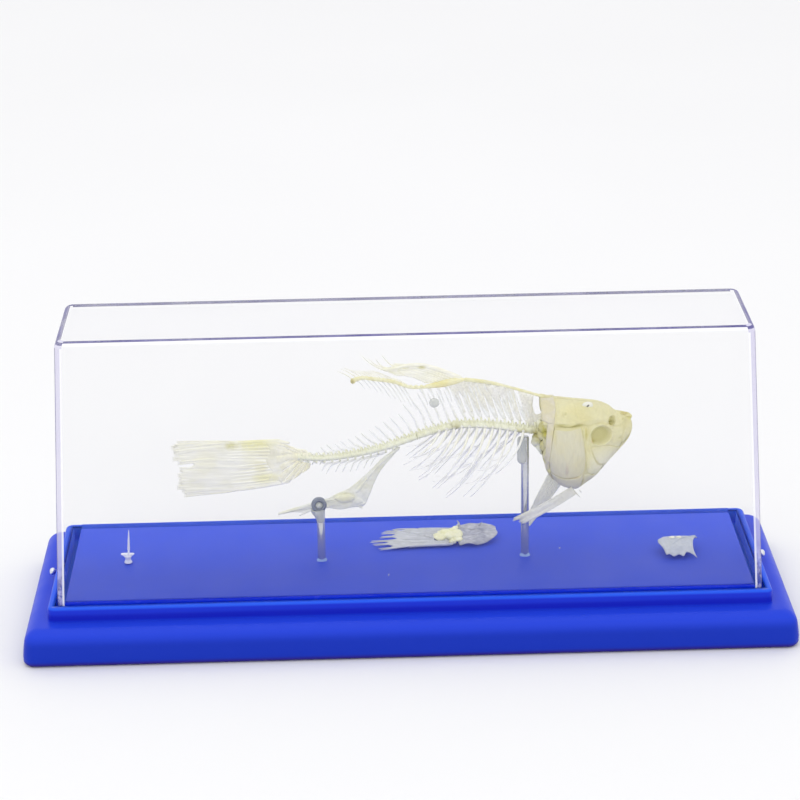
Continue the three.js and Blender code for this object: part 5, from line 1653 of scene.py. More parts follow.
@dataclass
class DorsalFin:
    """The bones of the nape, and the dorsal fin with its supports."""

    backbone: Backbone
    seed: int = 77

    def build(self) -> None:
        """Builds the nape bones and the fin."""
        self.rng = np.random.default_rng(self.seed)
        self.nape()
        self.foot()
        self.supports()
        self.blade()
        self.short_rays()
        self.glue_dot()

    def _between(self, index: int) -> tuple[np.ndarray, np.ndarray]:
        """Top on the back line and direction of the bone between two spines.

        Args:
            index: Number of the vertebra before it.

        Returns:
            The top, and the direction up the bone.
        """
        place = (index + 0.95) / self.backbone.count
        lean = math.radians(value_at(self.backbone.spine_lean, place))
        way = np.array([-math.cos(lean), 0.0, math.sin(lean)])
        start = self.backbone.at(place)
        return start + way * self.backbone.to_back(start, way), way

    def nape(self) -> None:
        """Builds the ridge of the nape and the broad bones that hang from it."""
        ridge = Draft()
        ridge.tube([(55.0, 0, 89.4), (52.2, 0, 90.3), (46, 0, 92.4), (41.5, 0, 93.8),
                    (32.5, 0, 96.3), (23.0, 0, 97.7)], (0.6, 0.55, 0.6, 0.75, 0.9),
                   (0.5, 0.5, 0.65), 56, 10)
        ridge.made("nape_ridge", [Bones.NAPE], ("nape_bones",), "yellow_bone", FISH_Y)
        for index in range(1, 9):
            top, way = self._between(index)
            wide = 3.7 if index < 8 else 2.8
            back = np.array([-way[2], 0, way[0]])
            heads = [top - back * wide * 0.55 - way * 0.2, top + back * wide * 0.75 - way * 0.2]
            foot = top - way * (15.6 - 0.2 * index)
            low = [foot - back * 0.45, foot + back * 0.4]
            grid = coons([p[[0, 2]] for p in low], [p[[0, 2]] for p in heads],
                         [low[0][[0, 2]], (low[0] * 0.45 + heads[0] * 0.55 + back * 0.35)[[0, 2]],
                          heads[0][[0, 2]]],
                         [low[1][[0, 2]], (low[1] * 0.45 + heads[1] * 0.55 - back * 0.3)[[0, 2]],
                          heads[1][[0, 2]]], 9, 20)
            sway = 0.25 * np.sin(grid[..., 1] * 0.5 + index)
            draft = Draft()
            draft.plate(stood(grid, sway), 0.6, 1)
            draft.tube([top - way * 0.5, top - way * 5, foot], (0.45, 0.35, 0.25),
                       (0.42, 0.36, 0.24), 12, 7)
            draft.made(f"nape_bone_{index}", [Bones.SPINE, Bones.FILM], ("nape_bones",),
                       "yellow_bone", FISH_Y)

    def foot(self) -> None:
        """Builds the bar along the foot of the fin, thick and yellow at its front."""
        draft = Draft()
        draft.tube([(23.2, 0, 97.7), (18, 0, 96.9), (13.6, 0, 95.9), (7.7, 0, 95.0)],
                   (0.7, 1.4, 1.6, 1.2, 0.8), (0.7, 1.0, 1.1, 0.9, 0.7), 30, 12)
        draft.tube([(10.5, 0, 95.3), (7.7, 0, 94.9), (1.7, 0, 95.0), (-4.3, 0, 97.4),
                    (-11.5, 0, 98.6), (-17.5, 0, 99.3), (-21.0, 0, 98.2)],
                   (0.7, 0.6, 0.7, 0.85, 0.8, 0.75, 1.0), (0.6, 0.55, 0.6, 0.65, 0.6, 0.6, 0.7),
                   60, 10)
        draft.lump((-20.6, 0, 98.2), (1.0, 0.8, 1.2), 0.2, 31, hollow=0.4)
        for k, x in enumerate(np.linspace(19, -19, 19)):
            z = value_at(self.backbone.dorsal_line, x)
            draft.lump((x, 0, z + 0.25), (0.8, 0.8, 0.6), 0.12, 40 + k, detail=8, hollow=0.1)
        draft.made("dorsal_fin_foot", [Bones.FIN_FOOT], ("dorsal_fin_supports",), "yellow_bone",
                   FISH_Y)

    def supports(self) -> None:
        """Builds the bones that hang from the foot of the fin."""
        for number, index in enumerate(range(9, 13), 1):
            top, way = self._between(index)
            self._support(number, top, top - way * self.rng.uniform(7.5, 8.8), 0.6)
        for number, share in enumerate(np.linspace(0, 1, 10), 5):
            x = -1.5 - 18 * share
            reach = 12.5 - 6.5 * share + self.rng.uniform(-0.8, 0.8)
            tilt = math.radians(62 - 14 * share)
            z = value_at(self.backbone.dorsal_line, x)
            top = np.array([x, 0, z])
            self._support(number, top, top + reach * np.array([math.cos(tilt), 0, -math.sin(tilt)]),
                          0.34)

    def _support(self, number: int, top: np.ndarray, bottom: np.ndarray, broad: float) -> None:
        """Builds one support between two points.

        Args:
            number: Its number.
            top: Its upper end.
            bottom: Its lower end.
            broad: Half size of its upper end.
        """
        middle = (top + bottom) / 2 + np.array([0.25, self.rng.uniform(-0.2, 0.2), 0.15])
        draft = Draft()
        draft.tube([top, middle, bottom], (broad, broad * 0.6, 0.16), (0.3, 0.22, 0.13), 16, 7)
        draft.made(f"dorsal_support_{number:02d}", [Bones.SPINE], ("dorsal_fin_supports",),
                   "yellow_bone", FISH_Y)

    def blade(self) -> None:
        """Builds the long rays laid back over the foot of the fin, their web and loose tips."""
        fan = RaySpread(9, [(21, 0, 98.6), (16, 0, 97.4), (12, 0, 96.9), (8.4, 0, 96.6)],
                        [(-4.4, 0, 104.0), (-6.5, 0, 103.2), (-8.6, 0, 102.3), (-3.5, 0, 99.3)],
                        bow=(0, 0, 1.7), half=(0.55, 0.25), thick=(0.42, 0.2), spread=0.3,
                        ragged=0.06, seed=5, fork=0.7)
        rays = Draft()
        fan.rays_on(rays)
        rays.tube([(22.2, 0, 98.0), (18, 0, 100.0), (13.8, 0, 101.8), (6.6, 0, 104.1),
                   (1.6, 0, 104.2), (-5.5, 0, 102.9), (-9.6, 0, 102.7)],
                  (1.0, 0.95, 0.9, 0.8, 0.5, 0.35), 0.5, 50, 9)
        for k in range(12):
            x = 17.5 - k * 1.15
            z = float(np.interp(x, (1.6, 6.6, 13.8, 18), (104.2, 104.1, 101.8, 100.0)))
            rays.tube([(x, 0, z + 0.3), (x - 0.7, 0.1 * (-1) ** k, z + 1.15)], (0.22, 0.1),
                      (0.2, 0.1), 4, 5)
        for points in ([(-3, 102.6), (-9.6, 102.9), (-13.2, 105), (-17.3, 108.9)],
                       [(-1, 103.4), (-5.6, 104.6), (-9, 108.6)],
                       [(-6, 103), (-11, 104.4), (-14.4, 107.2)],
                       [(-4, 102.4), (-9.5, 104.4), (-11.4, 107.0)]):
            rays.tube([(x, 0.1 * k, z) for k, (x, z) in enumerate(points)], (0.4, 0.24, 0.12),
                      (0.3, 0.2, 0.12), 18, 7)
        rays.made("dorsal_fin_long_rays", [Bones.FIN_RAY], ("dorsal_fin_rays",), "pale_bone",
                  FISH_Y)
        web = Draft()
        fan.web_on(web, 0, 1.0)
        web.made("dorsal_fin_web", [Bones.BLADE], ("dorsal_fin_rays",), "pale_bone", FISH_Y)

    def short_rays(self) -> None:
        """Builds the hair-thin rays along the back of the fin."""
        draft = Draft()
        for k, x in enumerate(np.linspace(1.5, -20.4, 14)):
            z = value_at(self.backbone.dorsal_line, x)
            reach = self.rng.uniform(7.5, 9.5) - 0.08 * k
            root = np.array([x, 0, z + 0.3])
            tip = root + reach * np.array([-0.86, self.rng.uniform(-0.05, 0.05), 0.5])
            if tip[0] < -26.6:
                tip = root + (tip - root) * (26.6 + root[0]) / (root[0] - tip[0])
            draft.tube([root, (root + tip) / 2 + np.array([0, 0, 0.4]), tip], (0.28, 0.2, 0.1),
                       (0.24, 0.18, 0.1), 14, 6)
        draft.made("dorsal_fin_short_rays", [Bones.FIN_RAY], ("dorsal_fin_supports",),
                   "yellow_bone", FISH_Y)

    def glue_dot(self) -> None:
        """Builds the dot of glue on the spines under the fin."""
        draft = Draft()
        draft.lump((11.2, -1.5, 88.7), (2.0, 0.9, 2.0), 0.05, 3, detail=18)
        draft.made("spine_glue_dot", [Makings.GLUE], ("glue_blob",), "clear_glue", FISH_Y)


class Lobe(Enum):
    """Lobe of the tail fin."""

    UPPER = "upper"
    LOWER = "lower"


@dataclass
class TailFin:
    """The fan of plates at the end of the backbone, and the tail fin."""

    def build(self) -> None:
        """Builds the end plates, the rays and the web of the tail."""
        self.end_plates()
        core = Draft()
        core.tube([(-37.6, 0, 66.2), (-41.4, 0, 66.6), (-46, 0, 66.6), (-52, 0, 66.0)],
                  (1.7, 1.9, 1.5, 0.5), (0.9, 0.7, 0.5, 0.4), 26, 12)
        core.made("tail_end_core", [Bones.FAN], ("tail_end_plate",), "pale_bone", FISH_Y)
        between = Draft()
        grid = coons([(-51, 63.8), (-64, 61.8), (-78, 61.6), (-87, 62.6)],
                     [(-51, 65.6), (-64, 67.0), (-78, 67.2), (-88, 66.0)],
                     [(-51, 63.8), (-51, 65.6)], [(-87, 62.6), (-84.4, 64.3), (-88, 66.0)], 40, 12)
        sway = 0.1 * np.sin(grid[..., 1] * 2.2 + grid[..., 0] * 0.2)
        between.plate(stood(grid, sway), 0.3)
        between.made("tail_web_middle", [Bones.WEB], ("caudal_fin_upper",), "yellow_bone", FISH_Y)
        skin = Draft()
        grid = coons([(-55.4, 57.0), (-51.6, 56.3), (-48.6, 56.4)],
                     [(-55.8, 73.3), (-51.6, 72.9), (-48.0, 71.4)],
                     [(-55.4, 57.0), (-53.6, 60.4), (-55.9, 64.6), (-54.2, 69.4), (-55.8, 73.3)],
                     [(-48.6, 56.4), (-49.6, 60.6), (-48.3, 65.0), (-49.4, 69.0), (-48.0, 71.4)],
                     24, 50)
        sway = 0.05 * np.sin(grid[..., 1] * 1.7)
        skin.plate(stood(grid, sway), 0.62)
        skin.made("tail_root_skin", [Bones.WEB], ("tail_end_plate",), "pale_bone", FISH_Y)
        self.lobe(Lobe.UPPER,
                  [(-46.2, 0, 72.6), (-51, 0, 73.6), (-51.5, 0, 70.6), (-51.2, 0, 64.9)],
                  [(-91.6, 0, 73.4), (-92.2, 0, 70.6), (-92.4, 0, 68), (-90.6, 0, 65.0)],
                  (0, 0, 0.8), 61)
        self.lobe(Lobe.LOWER,
                  [(-51.2, 0, 64.9), (-51.5, 0, 60.5), (-50.8, 0, 56.4), (-46.4, 0, 56.2)],
                  [(-90.2, 0, 62.9), (-91.6, 0, 59.5), (-91.0, 0, 55.0), (-89.4, 0, 51.4)],
                  (0, 0, -1.1), 62)

    def end_plates(self) -> None:
        """Builds the wedge-shaped plates that fan out behind the last vertebra."""
        hub = np.array([-42.4, 66.5])
        rim = smooth_line([(-39.4, 69.4), (-44.4, 70.3), (-49.4, 72.6), (-51.8, 73.0), (-52, 69),
                           (-52, 64.6), (-52, 60), (-51.6, 56), (-47.6, 55.3), (-45.2, 57.0),
                           (-38.2, 61.8)], 11)
        starts = smooth_line([(-38.8, 68.3), (-41.6, 68.2), (-43.6, 67.6), (-43.8, 66.6),
                              (-43.6, 65.4), (-41.6, 64.6), (-38.0, 63.6)], 11)
        for k in range(10):
            a, b = rim[k], rim[k + 1]
            c, d = starts[k], starts[k + 1]
            gap = 0.06
            low = [c + (d - c) * gap, d + (c - d) * gap]
            high = [a + (b - a) * gap, b + (a - b) * gap]
            grid = coons([low[0], low[1]], [high[0], high[1]], [low[0], high[0]],
                         [low[1], high[1]], 10, 22)
            away = np.linalg.norm(grid - hub, axis=-1)
            y = 0.08 * np.sin(away * 0.9 + k)
            draft = Draft()
            draft.plate(stood(grid, y), 0.75, 0, 0.05)
            ridge = stood(np.array([sum(low) / 2, sum(high) / 2]), 0.0)
            draft.tube(ridge, (0.45, 0.3), (0.55, 0.4), 10, 7)
            draft.made(f"tail_end_plate_{k + 1}", [Bones.FAN], ("tail_end_plate",), "pale_bone",
                       FISH_Y)

    def lobe(self, lobe: Lobe, roots: list, tips: list, bow: Point, seed: int) -> None:
        """Builds one lobe of the tail fin.

        Args:
            lobe: Which lobe it is.
            roots: Line of the roots of its rays.
            tips: Line of the tips of its rays.
            bow: How the rays bend.
            seed: Seed of its unevenness.
        """
        fan = RaySpread(10, roots, tips, bow, (0.62, 0.3), (0.46, 0.2), 0.42, 0.62, 0.07, seed)
        word = lobe.value
        node = f"caudal_fin_{word}"
        slot = "yellow_bone" if lobe is Lobe.UPPER else "pale_bone"
        for k, line in enumerate(fan.lines()):
            single = Draft()
            self._ray(single, line, seed + k)
            single.made(f"tail_ray_{word}_{k + 1:02d}", [Bones.FIN_RAY], (node,), slot, FISH_Y)
        web = Draft()
        fan.web_on(web, 0, 0.99)
        web.made(f"tail_web_{word}", [Bones.WEB], (node,), slot, FISH_Y)

    def _ray(self, draft: Draft, line: np.ndarray, seed: int) -> None:
        """Adds one ray that forks twice towards its tip.

        Args:
            draft: The draft.
            line: Nine points of the ray.
            seed: Seed of its unevenness.
        """
        rng = np.random.default_rng(seed)
        draft.tube(line[:5], (0.72, 0.56, 0.42), (0.28, 0.22, 0.18), 18, 8)
        for s in (-1, 1):
            t = np.linspace(0, 1, 5)[:, None]
            arm = line[4:] + np.array([0, 0, 1.0]) * s * 0.55 * t
            draft.tube(arm, (0.36, 0.26, 0.16), (0.16, 0.13, 0.1), 14, 6)
            for q in (-1, 1):
                u = np.linspace(0, 1, 3)[:, None]
                twig = arm[2:] + np.array([0, 0, 1.0]) * q * 0.3 * u * rng.uniform(0.7, 1.3)
                draft.tube(twig, (0.2, 0.12), (0.14, 0.09), 8, 5)


@dataclass
class AnalFin:
    """The strut under the backbone and the long narrow fin that hangs from it."""

    upper: tuple = ((-3.4, 70), (-6.6, 67.4), (-9.8, 65), (-13.8, 60.8), (-18.7, 56.1),
                    (-23.3, 52.4), (-28.5, 50.1), (-31.8, 48.2), (-38.6, 46.4), (-51.6, 42.4))
    lower: tuple = ((-2.4, 69.6), (-6.8, 64.2), (-9.9, 60.4), (-13, 54.5), (-15.1, 49.1),
                    (-17.7, 44.6), (-21.6, 44.3), (-26.7, 43.4), (-32, 44.2), (-41, 43.6),
                    (-51.7, 41.7))

    def build(self) -> None:
        """Builds the strut and the fin."""
        top = smooth_line(self.upper, 70)
        bottom = smooth_line(self.lower, 70)
        share = np.linspace(0, 1, 14)[None, :, None]
        grid = top[:, None] * (1 - share) + bottom[:, None] * share
        place = np.linspace(0, 1, 70)[:, None]
        y = 0.25 * np.sin(np.pi * 3 * share[..., 0]) * place + 0.1 * np.sin(place * 9)
        fin = Draft()
        hollow = 0.06 + 0.22 * (np.abs(share[..., 0] - 0.5) < 0.2) * (place > 0.45)
        fin.plate(stood(grid, y), 0.62, 0, hollow)
        fin.made("anal_fin_blade", [Bones.ANAL], ("anal_fin",), "yellow_bone", FISH_Y)
        strut = Draft()
        strut.tube([(-2.8, 0, 69.6), (-8.6, 0, 64.6), (-14.6, 0, 58.2), (-20.5, 0, 50.4)],
                   (0.8, 0.6, 0.6, 0.9), (0.6, 0.5, 0.7), 34, 9)
        strut.tube([(-16.6, 0, 46.2), (-19.4, 0, 44.8), (-17.9, 0, 43.6)], (0.8, 0.6, 0.3), 0.5,
                   12, 8)
        strut.lump((-25, -0.5, 48.4), (4.0, 1.0, 1.9), 0.16, 12)
        strut.lump((-19.6, 0, 47.0), (2.2, 0.8, 1.8), 0.2, 13)
        strut.made("anal_fin_strut", [Bones.ANAL], ("anal_fin",), "yellow_bone", FISH_Y)
        rays = Draft()
        for k in range(9):
            s = k / 8
            root = np.array([-19 - 3 * s, 0, 50.2 - 5.0 * s])
            knee = np.array([-33 - 1.0 * s, 0.2 * (-1) ** k, 47.6 - 3.0 * s])
            tip = np.array([-50.5 + 9 * s, 0, 42.7 + 0.8 * s - 1.6 * s * s])
            rays.tube([root, knee, tip], (0.42, 0.36, 0.14), (0.42, 0.34, 0.12), 26, 7)
        rays.tube([(-31, 0, 44.9), (-37, 0, 43.9), (-43.4, 0, 41.0)], (0.75, 0.5, 0.22),
                  (0.5, 0.4, 0.2), 18, 8)
        rays.made("anal_fin_rays", [Bones.ANAL], ("anal_fin",), "yellow_bone", FISH_Y)


@dataclass
class PectoralFins:
    """The two fins that hang from under the gill covers."""

    def build(self) -> None:
        """Builds both fins."""
        near = RaySpread(8, [(65.6, -3.6, 52.0), (66.6, -3.7, 50.8), (67.2, -3.8, 49.4)],
                         [(41.4, -4.7, 39.2), (43.6, -4.6, 38.0), (45.6, -4.5, 36.9)],
                         (0, -0.8, -0.2), (0.42, 0.2), (0.3, 0.16), 0.6, 0.25, 0.08, 71)
        far = RaySpread(8, [(57.8, 3.6, 56.6), (60.6, 3.7, 54.6), (63.2, 3.7, 52.6)],
                        [(46.9, 4.3, 33.0), (48.0, 4.3, 31.0), (50.4, 4.2, 33.2)],
                        (0, 0.6, 0), (0.42, 0.2), (0.3, 0.16), 0.6, 0.25, 0.08, 72)
        for side, fan, bone in ((Side.RIGHT, near, Bones.FLIPPER),
                                (Side.LEFT, far, Bones.LIT_FAR_FLIPPER)):
            draft = Draft()
            fan.rays_on(draft, 0)
            fan.web_on(draft, 0, 0.99)
            name = f"pectoral_fin_{side.word}"
            draft.made(name, [bone], (name,), "pale_bone", FISH_Y)
        scrap = Draft()
        scrap.tube([(67.0, -3.8, 50.0), (67.8, -3.9, 48.9), (69.0, -3.9, 47.6)], (0.3, 0.12),
                   (0.25, 0.1), 8, 6)
        scrap.tube([(68.6, -3.4, 50.6), (69.6, -3.7, 49.6)], (0.25, 0.1), (0.2, 0.1), 6, 6)
        scrap.made("pectoral_splinter", [Bones.FLIPPER], ("pectoral_fin_right",), "pale_bone",
                   FISH_Y)


# ------------------------------------------------------------------------------------ loose bones


@dataclass
class LooseBones:
    """The bones that lie on the panel beside the fish."""

    rest: float = 21.7
    blade_columns: int = 26
    vertebra_place: tuple[float, float] = (-112.8, -1.0)

    def _tilt(self, x: float, y: float, up: float = 0.0) -> Point:
        """Point on the slope on which the loose fin lies."""
        return (x, y, self.rest + 0.2 + 0.3 * (y - 3.6) + up)

    def build(self) -> None:
        """Builds the loose fin with its girdle, the plate bone, the vertebra and the chips."""
        self.pelvic_fin()
        self.girdle()
        self.plate_bone()
        self.vertebra()

    def pelvic_fin(self) -> None:
        """Builds the fan of the loose fin and the lump that it grows from."""
        tips = [self._tilt(-12.4, 4.2), self._tilt(-13.2, 6.0), self._tilt(-15.8, 9.0),
                self._tilt(-13.6, 12.0), self._tilt(-5.6, 16.2)]
        roots = [self._tilt(18.6, 6.6), self._tilt(19.0, 9.5), self._tilt(19.4, 15.2)]
        fan = RaySpread(7, roots, tips, (0, 0, 0.3), (0.7, 0.3), (0.5, 0.25), 0.6, 0.5, 0.16, 81,
                        0.4)
        draft = Draft()
        fan.rays_on(draft)
        fan.web_on(draft, 0, 0.9)
        draft.tube([self._tilt(14, 8.6, 0.6), self._tilt(4, 12.4, 0.5), self._tilt(-6, 15.6, 0.3)],
                   (0.5, 0.4, 0.2), (0.45, 0.35, 0.2), 24, 8)
        draft.made("loose_fin_rays", [Bones.PELVIC], ("loose_pelvic_fin",), "pale_bone")
        lump = Draft()
        for x, y, rise, radii, rough, seed, hollow in (
                (17.6, 11.2, 2.9, (3.0, 3.2, 1.6), 0.22, 90, 0.0),
                (13.4, 11.0, 2.7, (2.8, 3.4, 1.2), 0.26, 91, 0.0),
                (18.6, 7.6, 1.9, (1.4, 1.4, 1.1), 0.25, 92, 0.0),
                (20.0, 15.4, 4.2, (1.2, 1.2, 1.0), 0.25, 93, 0.0),
                (20.6, 11.8, 3.2, (2.2, 3.0, 1.2), 0.34, 95, 0.0),
                (15.4, 13.2, 3.4, (2.8, 1.8, 1.1), 0.36, 96, 0.0),
                (19.0, 13.6, 3.8, (1.9, 1.8, 1.2), 0.36, 97, 0.0),
                (20.4, 8.8, 2.3, (2.0, 1.8, 0.9), 0.36, 98, 0.0),
                # Painted shadow: a small lump wholly in the dark blue hollow colour.
                (12.2, 9.0, 2.4, (1.3, 0.8, 0.8), 0.2, 94, 1.0)):
            lump.lump((x, y, self.rest + rise), radii, rough, seed, hollow=hollow)
        lump.made("loose_fin_lump", [Bones.PELVIC_LUMP], ("loose_pelvic_fin",), "pale_bone")

    def girdle(self) -> None:
        """Builds the thin curved blade of the girdle and its spike."""
        rows = []
        for y, left, right, rise in ((5.8, 21.4, 28.5, 0.3), (7.2, 20.8, 32.2, 0.8),
                                     (8.8, 20.6, 34.4, 1.3), (10.8, 20.5, 36.2, 1.9),
                                     (12.6, 20.5, 37.0, 2.4), (14.6, 20.5, 36.4, 3.1),
                                     (16.0, 20.6, 36.4, 3.5), (17.3, 21.2, 34.6, 4.1)):
            x = np.linspace(left, right, self.blade_columns)
            arch = (0.7 * np.sin(np.pi * np.linspace(0, 1, self.blade_columns))
                    + 0.15 * np.sin(x * 1.1 + y))
            rows.append(np.stack([x, x * 0 + y, self.rest + 0.5 + rise + arch], axis=-1))
        given = np.array(rows)
        fine = np.stack([smooth_line(given[:, k], 24) for k in range(self.blade_columns)], axis=1)
        draft = Draft()
        draft.plate(fine, 0.62, 0, 0.1)
        draft.tube([(21, 15.6, self.rest + 4.3), (28, 13.6, self.rest + 4.0),
                    (36, 12.6, self.rest + 3)], (0.6, 0.4, 0.25), (0.5, 0.4, 0.2), 20, 8)
        draft.tube([(28.4, 15.2, self.rest + 4.0), (29.8, 16, self.rest + 5.1),
                    (31.0, 16.4, self.rest + 6.3)], (0.6, 0.35, 0.15), (0.4, 0.3, 0.15), 10, 7)
        draft.tube([(20.6, 16.0, self.rest + 4.4), (21.4, 16.8, self.rest + 5.6),
                    (20.6, 17.4, self.rest + 6.6)], (0.8, 0.5, 0.15), (0.6, 0.4, 0.15), 10, 7)
        draft.made("loose_girdle_blade", [Bones.GIRDLE], ("loose_pelvic_girdle",), "yellow_bone")

    def plate_bone(self) -> None:
        """Builds the loose plate bone with its ragged outline."""
        grid = coons([(103.4, -10.4), (104.8, -10.2), (106.2, -11.4), (108.6, -10.6),
                      (110.0, -11.4), (111.8, -9.4), (113.4, -10.0), (115.6, -12.0)],
                     [(103.2, 1.2), (105.6, 1.5), (107.6, 2.3), (110.6, 1.7), (112.4, 2.7),
                      (114.6, 2.0), (117.6, 3.4)],
                     [(103.4, -10.4), (102.6, -7.6), (100.8, -2.4), (103.2, 1.2)],
                     [(115.6, -12.0), (114.6, -8.4), (115.0, -3.0), (117.6, 3.4)], 44, 44)
        x, y = grid[..., 0], grid[..., 1]
        rise = np.interp(y, (-12, -10, -6.5, -2, 1, 3.4), (0.1, 1.0, 2.8, 3.8, 3.4, 2.2))
        z = self.rest + 0.5 + rise + 0.5 * np.sin((x - 100) / 17 * np.pi)
        points = np.stack([x, y, z], axis=-1)
        points[..., 2] += 0.16 * ripple(points, 2.4, 7)
        draft = Draft()
        draft.plate(points, 0.7, 0, np.clip(0.4 * ripple(points, 3.0, 8), 0, 1))
        draft.tube([(103.4, -8, self.rest + 2.6), (108, -4, self.rest + 4.7),
                    (116.6, 2, self.rest + 4.2)], (0.7, 0.5, 0.3), (0.5, 0.4, 0.3), 24, 8)
        draft.made("loose_plate", [Bones.LOOSE], ("loose_plate_bone",), "pale_bone")
        # Glue drops, near-opaque white as painted highlights.
        glints = Draft()
        for x0 in (106.6, 109.4):
            glints.lump((x0, -1.2, self.rest + 5.1), (1.1, 0.9, 0.5), 0.1, 6, detail=10)
        glints.made("loose_plate_glue_drops", [Makings.DROP], ("loose_plate_bone",), "pale_bone")

    def vertebra(self) -> None:
        """Builds the loose vertebra that stands on its face, and two chips."""
        x, y = self.vertebra_place
        z = self.rest
        profile = ((1.0, 0.02), (1.5, 0.05), (1.65, 0.3), (1.35, 0.8), (1.05, 1.6), (1.3, 2.4),
                   (1.6, 2.9), (1.5, 3.2), (1.0, 3.25))
        draft = Draft()
        draft.lathe((x, y), tuple((radius, z + high) for radius, high in profile), 20, hollow=0.1)
        draft.tube([(x - 2.8, y, z + 3.9), (x - 1, y, z + 3.5), (x, y, z + 3.4),
                    (x + 1, y, z + 3.5), (x + 2.6, y, z + 3.9)], (0.3, 0.7, 0.9, 0.7, 0.3),
                   (0.5, 0.9, 1.1, 0.9, 0.5), 24, 10)
        for s in (-1, 1):
            draft.tube([(x + 0.3, y + s * 0.8, z + 3), (x + 0.35, y + s * 0.7, z + 4.6),
                        (x + 0.45, y, z + 5.8)], (0.4, 0.3), (0.35, 0.25), 8, 6)
        draft.tube([(x + 0.4, y, z + 5.2), (x + 0.6, y, z + 9), (x + 0.9, y + 0.1, z + 14.3)],
                   (0.55, 0.4, 0.14), (0.4, 0.3, 0.12), 24, 8)
        draft.made("loose_vertebra_bone", [Bones.LOOSE_SPINE], ("loose_vertebra",), "pale_bone")
        chips = Draft()
        chips.tube([(-8.3, -19.6, 21.55), (-8.1, -19.1, 22.3)], (0.25, 0.12), (0.2, 0.1), 4, 6)
        chips.lump((61.6, 2.6, 21.6), (0.4, 0.3, 0.2), 0.2, 4, detail=8)
        chips.made("bone_chips", [Bones.LOOSE], ("loose_vertebra",), "pale_bone")


# ------------------------------------------------------------------------------------ stand


def rounded_ring(half_x: float, half_y: float, corner: float, z: float,
                 steps: int = 10) -> np.ndarray:
    """Ring of a rounded rectangle at one height.

    Args:
        half_x: Half size along x.
        half_y: Half size along y.
        corner: Radius of the corners.
        z: The height.
        steps: Stretches in each corner.

    Returns:
        The points of the ring.
    """
    points = []
    for quarter, (sx, sy) in enumerate(((1, 1), (-1, 1), (-1, -1), (1, -1))):
        for i in range(steps + 1):
            angle = (quarter + i / steps) * math.pi / 2
            points.append((sx * (half_x - corner) + corner * math.cos(angle),
                           sy * (half_y - corner) + corner * math.sin(angle), z))
    return np.array(points)


